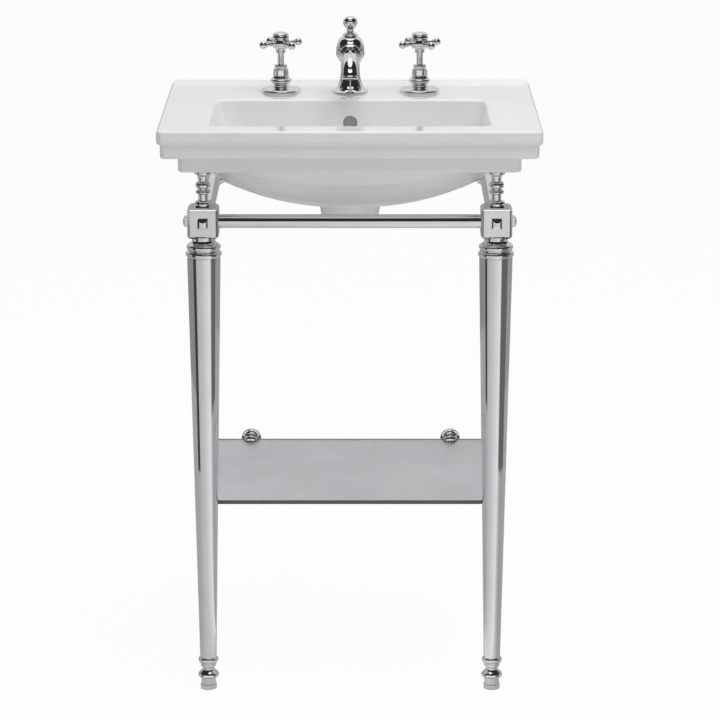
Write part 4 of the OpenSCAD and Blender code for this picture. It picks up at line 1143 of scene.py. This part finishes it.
@dataclass
class Stand:
    """Legs, blocks, posts, rails and wall flanges, in millimetres."""

    block: float = 45.0
    block_border: float = 3.0
    block_slope: float = 1.9
    top_radius: float = 24.2
    bottom_radius: float = 12.2
    tube_bore: float = 9.0
    front_rail: float = 10.0
    front_bore: float = 8.5
    side_rail: float = 12.0
    side_bore: float = 10.5
    screw_ring: float = 17.2
    cap: float = 15.0
    cap_height: float = 7.0
    cap_steps: tuple[tuple[float, float], ...] = (
        (0.97, 0.2), (0.62, 1.7), (0.56, 0.25), (0.4, 0.3), (0.2, 0.2))

    def __post_init__(self) -> None:
        """Finds the legs and their levels."""
        self.legs = [Place.of("leg_left"), Place.of("leg_right")]
        self.blocks = Place.of("corner_blocks")
        self.collar_z = self.legs[0].high.z
        self.ankle_z = Place.of("ankles").low.z
        self.block_z = self.blocks.middle.z

    def on_legs(self, height: float) -> list[Matrix]:
        """Both leg axes at a height."""
        return [at(leg.middle.x, leg.middle.y, height) for leg in self.legs]

    def tubes(self) -> None:
        """Tapered tubes of the legs."""
        for leg, name in zip(self.legs, ("left", "right")):
            outline = Outline(self.bottom_radius, leg.low.z).line((self.top_radius, leg.high.z))
            Piece(f"{name}_leg_tube", (f"leg_{name}",)).add(
                turned(outline, self.tube_bore, WIDE_STEPS), at(leg.middle.x, leg.middle.y)).done()

    def collars(self) -> None:
        """Turned collars between the tubes and the blocks."""
        outline = Outline(23.8, 0).line((23.8, 1.3)).bead(24.0, 8.6, 1.9)
        outline.quarter(22.4, 10.6, Bend.LEVEL, 5).line((22.4, 11.8)).bead(22.6, 19.0, 2.1)
        outline.line((21.4, 19.4), (21.4, 20.2)).quarter(16.5, 27.4, Bend.LEVEL, 10).line((16.5, 30.3))
        Piece("leg_collar_pair", ("leg_collars",)).add(
            turned(outline.softened(0.4), steps=WIDE_STEPS), *self.on_legs(self.collar_z)).done()

    def corner_blocks(self) -> None:
        """Cube blocks, each face raised inside a shallow sloping border."""
        half = self.block / 2 - self.block_slope
        cube = slab((-half,) * 3, (half,) * 3)
        bmesh.ops.inset_individual(cube, faces=cube.faces, thickness=self.block_border,
                                   depth=self.block_slope)
        beveled(cube, cube.edges, 0.3, 2)
        Piece("corner_block_pair", ("corner_blocks",), smooth=5).add(
            finished(cube, 0.01), *self.on_legs(self.block_z)).done()

    def block_caps(self) -> None:
        """Square stepped caps on the front and outer sides of the blocks."""
        half = self.cap / 2
        cap = slab((-half, -half, -0.5), (half, half, self.cap_height * 0.6))
        face = max(cap.faces, key=lambda face: face.calc_center_median().z)
        for share, rise in self.cap_steps:
            middle = face.calc_center_median()
            grown = bmesh.ops.extrude_face_region(cap, geom=[face])["geom"]
            verts = [item for item in grown if isinstance(item, bmesh.types.BMVert)]
            bmesh.ops.delete(cap, geom=[face], context="FACES_ONLY")
            face = next(item for item in grown if isinstance(item, bmesh.types.BMFace))
            reach = max(abs(vert.co.x) for vert in verts)
            bmesh.ops.scale(cap, vec=(share * half / reach, share * half / reach, 1), verts=verts,
                            space=at(0, 0, -middle.z))
            bmesh.ops.translate(cap, vec=(0, 0, rise), verts=verts)
        ridges = [edge for edge in cap.edges if abs(edge.verts[0].co.x - edge.verts[1].co.x) < 1.2 * half
                  and edge.verts[0].co.z != edge.verts[1].co.z]
        beveled(cap, ridges, 1.1)
        piece = Piece("block_cap_set", ("block_caps",), smooth=30)
        places = []
        for leg in self.legs:
            side = math.copysign(1, leg.middle.x)
            hub = at(leg.middle.x, leg.middle.y, self.block_z)
            places += [hub @ at(0, -self.block / 2, 0) @ turned_by(90, "X"),
                       hub @ at(side * self.block / 2, 0, 0) @ turned_by(90 * side, "Y")]
        piece.add(finished(cap), *places).done()

    def posts(self) -> None:
        """Turned posts between the blocks and the basin."""
        outline = Outline(12.0, 0).quarter(12.4, 0.4, Bend.LEVEL, 3).line((12.4, 3.6))
        outline.quarter(7.0, 8.4, Bend.UPRIGHT, 8).line((7.0, 17.6)).bead(7.2, 23.8, 3.6)
        outline.line((7.2, 25.6), (7.8, 26.2)).bead(7.6, 35.4, 3.1).line((6.8, 36.4), (6.8, 38.0))
        outline.quarter(11.8, 46.6, Bend.UPRIGHT, 12).line((12.2, 47.6), (12.2, 50.0))
        low = self.blocks.high.z
        Piece("basin_post_pair", ("basin_posts",)).add(
            turned(outline.softened(0.35)), *self.on_legs(low)).done()

    def ankles(self) -> None:
        """Turned ankles at the feet of the tubes."""
        outline = Outline(12.6, 0).line((13.2, 0.4)).ogee(15.3, 3.4, 8).line((15.6, 4.4), (15.3, 5.2))
        outline.ogee(8.6, 14.0, 12).line((8.6, 14.5)).ogee(11.1, 18.4, 8).bead(11.0, 21.4, 0.5, 8)
        outline.line((11.0, 21.8)).bead(12.2, 24.6, 1.2, 8).bead(11.9, 31.6, 2.9).line((12.2, 33.5))
        Piece("ankle_pair", ("ankles",)).add(
            turned(outline.softened(0.35), 4.05), *self.on_legs(self.ankle_z)).done()

    def feet(self) -> None:
        """Levelling feet."""
        outline = Outline(11.2, 0).quarter(12.1, 1.0, Bend.LEVEL, 4).line((12.2, 6.6))
        outline.quarter(11.2, 7.8, Bend.UPRIGHT, 5)
        outline.line((10.9, 8.0), (10.9, 17.7), (4.0, 17.9), (4.0, 45.5))
        for leg, name, body in zip(self.legs, ("left", "right"), (Body.LEFT_FOOT, Body.RIGHT_FOOT)):
            Piece(f"{name}_levelling_foot", (f"foot_{name}",), body).add(
                turned(outline.softened(0.25)), at(leg.middle.x, leg.middle.y)).done()

    def rails(self) -> None:
        """Front towel rail and the two side rails."""
        front, sides = Place.of("front_rail"), Place.of("side_rails")
        across = at(0, front.middle.y, front.middle.z) @ turned_by(90, "Y")
        Piece("front_towel_rail", ("front_rail",)).add(
            rod(self.front_rail, front.low.x, front.high.x, bore=self.front_bore, steps=96), across).done()
        back = [at(leg.middle.x, 0, sides.middle.z) @ turned_by(-90, "X") for leg in self.legs]
        Piece("side_rail_pair", ("side_rails",)).add(
            rod(self.side_rail, sides.low.y, sides.high.y, bore=self.side_bore, steps=96), *back).done()

    def flanges(self) -> None:
        """Round wall flanges with countersunk screw holes."""
        box = Place.of("wall_flanges")
        radius, thick = box.size.z / 2, box.size.y
        outline = Outline(radius - 0.4, 0).quarter(radius, 0.4, Bend.LEVEL, 3).line((radius, thick * 0.5))
        outline.quarter(radius - 5.5, thick, Bend.UPRIGHT, 10).line((14.2, thick))
        blank = turned(outline, self.side_rail + 0.05)
        for turn in (90, 210, 330):
            hole = turned(Outline(2.3, -2).line((2.3, 3.2), (4.4, 6.6), (4.4, 12)), steps=40)
            bmesh.ops.transform(hole, matrix=turned_by(turn, "Z") @ at(self.screw_ring), verts=hole.verts)
            blank = carved(blank, hole)
        wall = [at(leg.middle.x, box.high.y, self.block_z) @ turned_by(90, "X") for leg in self.legs]
        Piece("wall_flange_pair", ("wall_flanges",)).add(blank, *wall).done()

    def make(self) -> None:
        """Makes every piece of the stand."""
        self.tubes()
        self.collars()
        self.corner_blocks()
        self.block_caps()
        self.posts()
        self.ankles()
        self.feet()
        self.rails()
        self.flanges()


@dataclass
class Shelf:
    """Glass shelf with its wall brackets and its rests, in millimetres."""

    corner: float = 6.0
    arris: float = 0.9
    bracket: float = 15.5
    jaw: float = 10.0
    slot_root: float = 14.0
    pin_height: float = 6.0
    pad_radius: float = 9.0
    pad_reach: float = 33.0

    def __post_init__(self) -> None:
        """Finds the glass and its brackets."""
        self.glass = Place.of("glass_shelf")
        self.brackets = Place.of("shelf_brackets")

    def plate(self) -> None:
        """Glass plate: etched faces, ground edges."""
        glass = self.glass
        blank = slab(glass.low, glass.high)
        uprights = [edge for edge in blank.edges if abs(edge.verts[0].co.z - edge.verts[1].co.z) > 1]
        beveled(blank, uprights, self.corner, 8)
        rims = [edge for edge in blank.edges if abs(edge.verts[0].co.z - edge.verts[1].co.z) < 0.01]
        beveled(blank, rims, self.arris, 2)
        for face in blank.faces:
            face.material_index = 0 if abs(face.normal.z) > 0.99 else 1
        piece = Piece("glass_plate", ("glass_shelf",), Body.STAND, GLASS, finishes=[GLASS, GLASS_EDGE])
        piece.add(blank).done()

    def wall_brackets(self) -> None:
        """Round brackets, slotted for the back of the glass."""
        box, jaw, length = self.brackets, self.jaw, self.brackets.size.y
        outline = Outline(self.bracket - 0.5, 0).quarter(self.bracket, 0.5, Bend.LEVEL, 3)
        outline.line((self.bracket, 3.2)).quarter(self.bracket - 1.2, 4.4, Bend.UPRIGHT, 4)
        outline.quarter(jaw - 0.6, 9.6, Bend.LEVEL, 8).line((jaw - 0.6, 12.0)).ogee(jaw, 14.5, 6)
        outline.line((jaw, length - 4.2)).quarter(2.0, length, Bend.UPRIGHT, 12)
        blank = turned(outline.softened(0.4))
        gap = self.glass.size.z / 2 + 0.05
        slot = slab((-20, -gap, self.slot_root), (20, gap, length + 2))
        blank = carved(blank, slot)
        reach = self.brackets.size.x / 2 - self.bracket
        places = [at(side * reach, box.high.y, box.middle.z) @ turned_by(90, "X") for side in (-1, 1)]
        Piece("shelf_bracket_pair", ("shelf_brackets",)).add(blank, *places).done()
        screw = Outline(2.0, 3.0).line((2.0, jaw - 0.6), (3.4, jaw - 0.4))
        screw.quarter(1.0, jaw + 2.0, Bend.UPRIGHT, 6)
        middle = Place.of("bracket_screws").middle
        down = [at(side * reach, middle.y, box.middle.z) @ turned_by(180, "X") for side in (-1, 1)]
        Piece("bracket_screw_pair", ("bracket_screws",)).add(
            turned(screw, steps=40), *down).done()

    def rests(self) -> None:
        """Pins with round plates that carry the front of the glass."""
        box, radius = Place.of("shelf_rests"), self.pad_radius
        pin_z = box.low.z + self.pin_height
        piece = Piece("shelf_rest_pair", ("shelf_rests",))
        for name in ("leg_left", "leg_right"):
            leg = Place.of(name).middle
            piece.add(rod(4, 4, 30, 0.4), at(leg.x, leg.y, pin_z) @ turned_by(-90, "X"))
            plate = Outline(radius - 0.6, box.low.z).quarter(radius, box.low.z + 0.6, Bend.LEVEL, 4)
            plate.line((radius, box.high.z - 0.4)).quarter(radius - 0.4, box.high.z, Bend.UPRIGHT, 4)
            piece.add(turned(plate), at(leg.x, leg.y + self.pad_reach, 0))
        piece.done()

    def make(self) -> None:
        """Makes every piece of the shelf."""
        self.plate()
        self.wall_brackets()
        self.rests()


# ---- waste and plumbing --------------------------------------------------


@dataclass
class Waste:
    """Waste flange and plug in the bowl, in millimetres."""

    bore: float = 17.0

    def flange(self) -> None:
        """Dished flange in the bowl's floor."""
        box = Place.of("waste_flange")
        top, radius = box.high.z, box.size.x / 2
        outline = Outline(18.9, box.low.z).line((18.9, top - 2.6), (radius - 0.6, top - 2.5))
        outline.quarter(radius, top - 1.7, Bend.LEVEL, 3).quarter(radius - 3.5, top, Bend.UPRIGHT, 8)
        outline.line((23.5, top - 0.3)).quarter(self.bore + 0.4, top - 3.2, Bend.LEVEL, 8)
        Piece("waste_flange_ring", ("waste_flange",)).add(
            turned(outline, self.bore), at(0, box.middle.y, 0)).done()

    def plug(self) -> None:
        """Domed plug."""
        box, disc = Place.of("waste_plug"), Place.of("plug_seal")
        radius, low, top = box.size.x / 2, disc.high.z, box.high.z
        outline = Outline(4.5, box.low.z + 9)
        outline.line((4.5, low - 3.8), (14, low - 3.8), (14, low), (radius - 0.8, low))
        outline.quarter(radius, low + 0.8, Bend.LEVEL, 4).line((radius, low + 1.2))
        outline.quarter(radius - 5, low + 3.4, Bend.UPRIGHT, 8).quarter(0.8, top, Bend.UPRIGHT, 10)
        tongue = slab((-6.3, -2, box.low.z), (6.3, 2, box.low.z + 12.6), 0.4)
        hole = rod(3.3, -5, 5, 0.1)
        bmesh.ops.transform(hole, matrix=at(0, 0, box.low.z + 5.8) @ turned_by(90, "X"), verts=hole.verts)
        place = at(0, box.middle.y, 0)
        Piece("waste_plug_dome", ("waste_plug",), Body.PLUG).add(
            turned(outline.softened(0.3)), place).add(carved(tongue, hole), place).done()

    def make(self) -> None:
        """Makes the waste's visible pieces."""
        self.flange()
        self.plug()


@dataclass
class Plumbing:
    """Fittings under the deck and round the waste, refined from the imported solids."""

    fittings: tuple[tuple[Finish, Body, tuple[str, ...]], ...] = (
        (BRASS, Body.STAND, ("hot_valve_body", "hot_cartridge", "cold_valve_body", "cold_cartridge",
                             "tap_nuts", "pipe_nuts", "spout_tee", "rod_guide", "waste_body",
                             "waste_nut", "ball_nut")),
        (BRASS, Body.LIFT, ("strap_screw",)),
        (CHROME, Body.STAND, ("cross_pipes", "aerator")),
        (CHROME, Body.LIFT, ("lift_rod", "lift_strap")),
        (CHROME, Body.LEVER, ("pivot_rod",)),
        (CHROME, Body.HOT, ("hot_handle_screw",)),
        (CHROME, Body.COLD, ("cold_handle_screw",)),
        (RUBBER, Body.STAND, ("tap_washers", "waste_washer", "flange_seal", "seat_pads", "rest_pads")),
        (RUBBER, Body.PLUG, ("plug_seal",)))

    def refined(self, node: str, body: Body, finish: Finish) -> None:
        """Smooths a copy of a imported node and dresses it.

        Args:
            node: The node.
            body: The body it rides on.
            finish: Its finish.
        """
        blank = bmesh.new()
        blank.from_mesh(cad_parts[node].data)
        bmesh.ops.scale(blank, vec=(1 / MM,) * 3, verts=blank.verts)
        bmesh.ops.remove_doubles(blank, verts=blank.verts, dist=0.001)
        Piece(f"{node}_fitting", (node,), body, finish, smooth=28).add(blank).done()

    def make(self) -> None:
        """Makes every fitting."""
        for finish, body, nodes in self.fittings:
            for node in nodes:
                self.refined(node, body, finish)


# ---- studio --------------------------------------------------------------


class StudioWiring(Wiring):
    """Wiring of the surroundings, which tells kinds of ray apart."""

    def __init__(self, tree: bpy.types.NodeTree) -> None:
        """Empties a node tree and takes it up."""
        super().__init__(tree)
        tree.nodes.clear()

    def ray(self, kind: str) -> bpy.types.NodeSocket:
        """1 for rays of a kind, otherwise 0."""
        return self.node("ShaderNodeLightPath").outputs[f"Is {kind} Ray"]

    def reckoned(self, operation: str, *values: float | bpy.types.NodeSocket) -> bpy.types.NodeSocket:
        """Result of a sum on two values.

        Args:
            operation: Name of the sum.
            values: The two values, each a number or a socket.

        Returns:
            The result's socket.
        """
        node = self.node("ShaderNodeMath")
        node.operation = operation
        for value, socket in zip(values, node.inputs):
            if isinstance(value, bpy.types.NodeSocket):
                self.link(value, socket)
            else:
                socket.default_value = value
        return node.outputs[0]

    def seen(self) -> bpy.types.NodeSocket:
        """1 for rays of the camera, of gloss and through glass, otherwise 0."""
        seen = self.reckoned("MAXIMUM", self.ray("Camera"), self.ray("Glossy"))
        return self.reckoned("MAXIMUM", seen, self.ray("Transmission"))

    def layered(self, share: bpy.types.NodeSocket, under: bpy.types.Node,
                over: bpy.types.Node) -> bpy.types.Node:
        """Shader node that goes from one shader to another by a share."""
        mix = self.node("ShaderNodeMixShader")
        for source, target in zip((share, under.outputs[0], over.outputs[0]), mix.inputs):
            self.link(source, target)
        return mix

    def close(self, kind: str, shader: bpy.types.Node) -> None:
        """Feeds a shader to the tree's output, a node of the given kind."""
        self.link(shader.outputs[0], self.node(kind).inputs["Surface"])


@dataclass(frozen=True)
class Screen:
    """Stretch of a dome round the part that only gloss sees.

    Bearings run to the right from the front, and rises up from the level of the dome's middle,
    both in degrees. A nearer screen stands that far inside the dome.
    """

    name: str
    bearings: tuple[float, float]
    rises: tuple[float, float]
    level: float
    nearer: float = 0.0

    REACH = 1.7
    MIDDLE = 0.8
    RISE_STEPS = 8
    BEARING_STEPS = 24

    def mesh(self) -> bpy.types.Mesh:
        """The screen's surface, in metres."""
        reach, (start, end), (low, high) = self.REACH - self.nearer, self.bearings, self.rises
        ahead = Vector((math.sin(math.radians(start)), -math.cos(math.radians(start)), 0))
        blank = bmesh.new()
        verts = []
        for step in range(self.RISE_STEPS + 1):
            rise = math.radians(low + (high - low) * step / self.RISE_STEPS)
            up = Vector((0, 0, self.MIDDLE + reach * math.sin(rise)))
            verts.append(blank.verts.new(ahead * reach * math.cos(rise) + up))
        edges = [blank.edges.new(pair) for pair in zip(verts, verts[1:])]
        bmesh.ops.spin(blank, geom=verts + edges, cent=(0, 0, 0), axis=(0, 0, 1),
                       angle=math.radians(end - start), steps=self.BEARING_STEPS)
        return to_mesh(blank)

    def set_up(self) -> None:
        """Sets the screen round the part."""
        material = bpy.data.materials.new(self.name)
        material.use_nodes = True
        wiring = StudioWiring(material.node_tree)
        glow = wiring.node("ShaderNodeEmission", Color=(self.level, self.level, self.level, 1))
        wiring.close("ShaderNodeOutputMaterial", glow)
        screen = bpy.data.objects.new(self.name, self.mesh())
        screen.data.materials.append(material)
        bpy.context.scene.collection.objects.link(screen)
        screen.visible_camera = screen.visible_diffuse = screen.visible_shadow = False
        screen.visible_transmission = False


@dataclass(frozen=True)
class Lamp:
    """Soft rectangular lamp aimed at a point, in metres and watts."""

    name: str
    place: tuple[float, float, float]
    aim: tuple[float, float, float]
    size: tuple[float, float]
    power: float

    def set_up(self) -> None:
        """Hangs the lamp where neither the camera nor gloss can see it."""
        light = bpy.data.lights.new(self.name, "AREA")
        light.shape = "RECTANGLE"
        light.size, light.size_y = self.size
        light.energy = self.power
        lamp = bpy.data.objects.new(self.name, light)
        lamp.location = self.place
        toward = Vector(self.aim) - Vector(self.place)
        lamp.rotation_euler = toward.to_track_quat("-Z", "Y").to_euler()
        lamp.visible_glossy = lamp.visible_camera = False
        bpy.context.scene.collection.objects.link(lamp)


@dataclass
class Studio:
    """Floor, world, lamps, screens and camera, in metres."""

    distance: float = 4.894
    height: float = 1.6885
    pitch: float = 14.06
    offset: float = 0.0147
    lens: float = 167.4
    clip_end: float = 60.0
    ambient: float = 0.40
    glow: float = 0.95
    floor_half: float = 12.0
    floor_level: float = 0.88
    floor_tones: tuple[tuple[float, float], ...] = (
        (-90, 0.45), (-60, 0.52), (-40, 0.62), (-15, 0.70), (0, 0.80), (20, 0.90), (32, 1.0), (42, 0.7),
        (60, 0.40), (90, 0.45), (180, 0.50), (270, 0.45))
    lamps: tuple[Lamp, ...] = (
        Lamp("overhead", (0.45, -0.5, 3.0), (0.0, 0.0, 0.6), (2.2, 1.8), 45),
        Lamp("floor_fill", (0.45, -1.3, 0.08), (0.0, -0.1, 0.8), (2.4, 0.5), 4.5))
    screens: tuple[Screen, ...] = (
        Screen("front_dark", (-118, 118), (1, 66), 0.03),
        Screen("front_window", (-40, 40), (46, 60), 1.35, 1.0),
        Screen("left_flag", (-72, -53), (-33, 1), 0.06, 0.35),
        Screen("right_flag", (42, 82), (-33, 1), 0.16, 0.35),
        Screen("left_rear", (-175, -70), (-25, -13), 0.32, 0.02),
        Screen("right_rear", (84, 185), (-25, -13), 0.38, 0.02),
        Screen("rear_band", (118, 242), (-13, 5), 0.38, 0.02),
        Screen("rear_glow", (118, 242), (5, 26), 0.72, 0.02),
        Screen("rear_wall", (118, 242), (26, 64), 0.85, 0.02),
        Screen("left_side", (-118, -70), (-13, 1), 0.55, 0.02),
        Screen("right_side", (84, 118), (-13, 1), 0.55, 0.02),
        Screen("lid", (0, 360), (66, 90), 1.3))

    def world(self) -> None:
        """White surroundings for the camera and for gloss, a softer level for diffuse light."""
        world = bpy.data.worlds.new("studio")
        bpy.context.scene.world = world
        world.use_nodes = True
        wiring = StudioWiring(world.node_tree)
        plain = wiring.node("ShaderNodeBackground", Color=WHITE, Strength=self.ambient)
        bright = wiring.node("ShaderNodeBackground", Color=WHITE)
        wiring.close("ShaderNodeOutputWorld", wiring.layered(wiring.seen(), plain, bright))

    def sheen(self, wiring: StudioWiring) -> bpy.types.NodeSocket:
        """Tone of the floor by bearing, as polished metal shows it."""
        turn, ramp = wiring.node("ShaderNodeTexGradient"), wiring.node("ShaderNodeValToRGB")
        turn.gradient_type = "RADIAL"
        wiring.link(wiring.node("ShaderNodeTexCoord").outputs["Object"], turn.inputs["Vector"])
        stops = ramp.color_ramp.elements
        for index, (bearing, level) in enumerate(self.floor_tones):
            stop = stops[index] if index < 2 else stops.new(1.0)
            stop.position = 0.25 + bearing / 360
            stop.color = (level, level, level, 1)
        wiring.link(turn.outputs["Fac"], ramp.inputs["Fac"])
        return ramp.outputs["Color"]

    def floor(self) -> None:
        """Pale floor that keeps the shadow, shows gloss its tones and is clear from below."""
        material = bpy.data.materials.new("pale_floor")
        material.use_nodes = True
        wiring = StudioWiring(material.node_tree)
        level = self.floor_level
        matt = wiring.node("ShaderNodeBsdfDiffuse", Color=(level, level, level, 1))
        glow, clear = wiring.node("ShaderNodeEmission"), wiring.node("ShaderNodeBsdfTransparent")
        white = wiring.reckoned("MAXIMUM", wiring.ray("Transmission"),
                                wiring.reckoned("SUBTRACT", 1.0, wiring.ray("Glossy")))
        wiring.link(wiring.reckoned("MAXIMUM", white, self.sheen(wiring)), glow.inputs["Color"])
        lit = wiring.layered(wiring.reckoned("MULTIPLY", wiring.seen(), self.glow), matt, glow)
        below = wiring.node("ShaderNodeNewGeometry").outputs["Backfacing"]
        wiring.close("ShaderNodeOutputMaterial", wiring.layered(below, lit, clear))
        blank = bmesh.new()
        bmesh.ops.create_grid(blank, x_segments=1, y_segments=1, size=self.floor_half)
        floor = bpy.data.objects.new("studio_floor", to_mesh(blank))
        floor.data.materials.append(material)
        bpy.context.scene.collection.objects.link(floor)

    def camera(self) -> None:
        """Long-lens camera above the rim, looking slightly down."""
        data = bpy.data.cameras.new("camera")
        data.lens = self.lens
        data.clip_end = self.clip_end
        camera = bpy.data.objects.new("camera", data)
        camera.location = (self.offset, -self.distance, self.height)
        camera.rotation_euler = (math.radians(90 - self.pitch), 0, 0)
        bpy.context.scene.collection.objects.link(camera)
        bpy.context.scene.camera = camera

    def make(self) -> None:
        """Sets up the studio."""
        bpy.context.scene.view_settings.view_transform = "Standard"
        self.world()
        self.floor()
        for item in (*self.lamps, *self.screens):
            item.set_up()
        self.camera()


def main() -> None:
    """Builds the studio and every assembly."""
    logging.basicConfig(level=logging.INFO, format="%(message)s")
    assemblies = (Studio(), Basin(), Valve("hot", Body.HOT), Valve("cold", Body.COLD), Spout(), Stand(),
                  Shelf(), Waste(), Plumbing())
    for assembly in assemblies:
        LOG.info("-- %s", type(assembly).__name__)
        assembly.make()


if __name__ == "__main__":
    main()
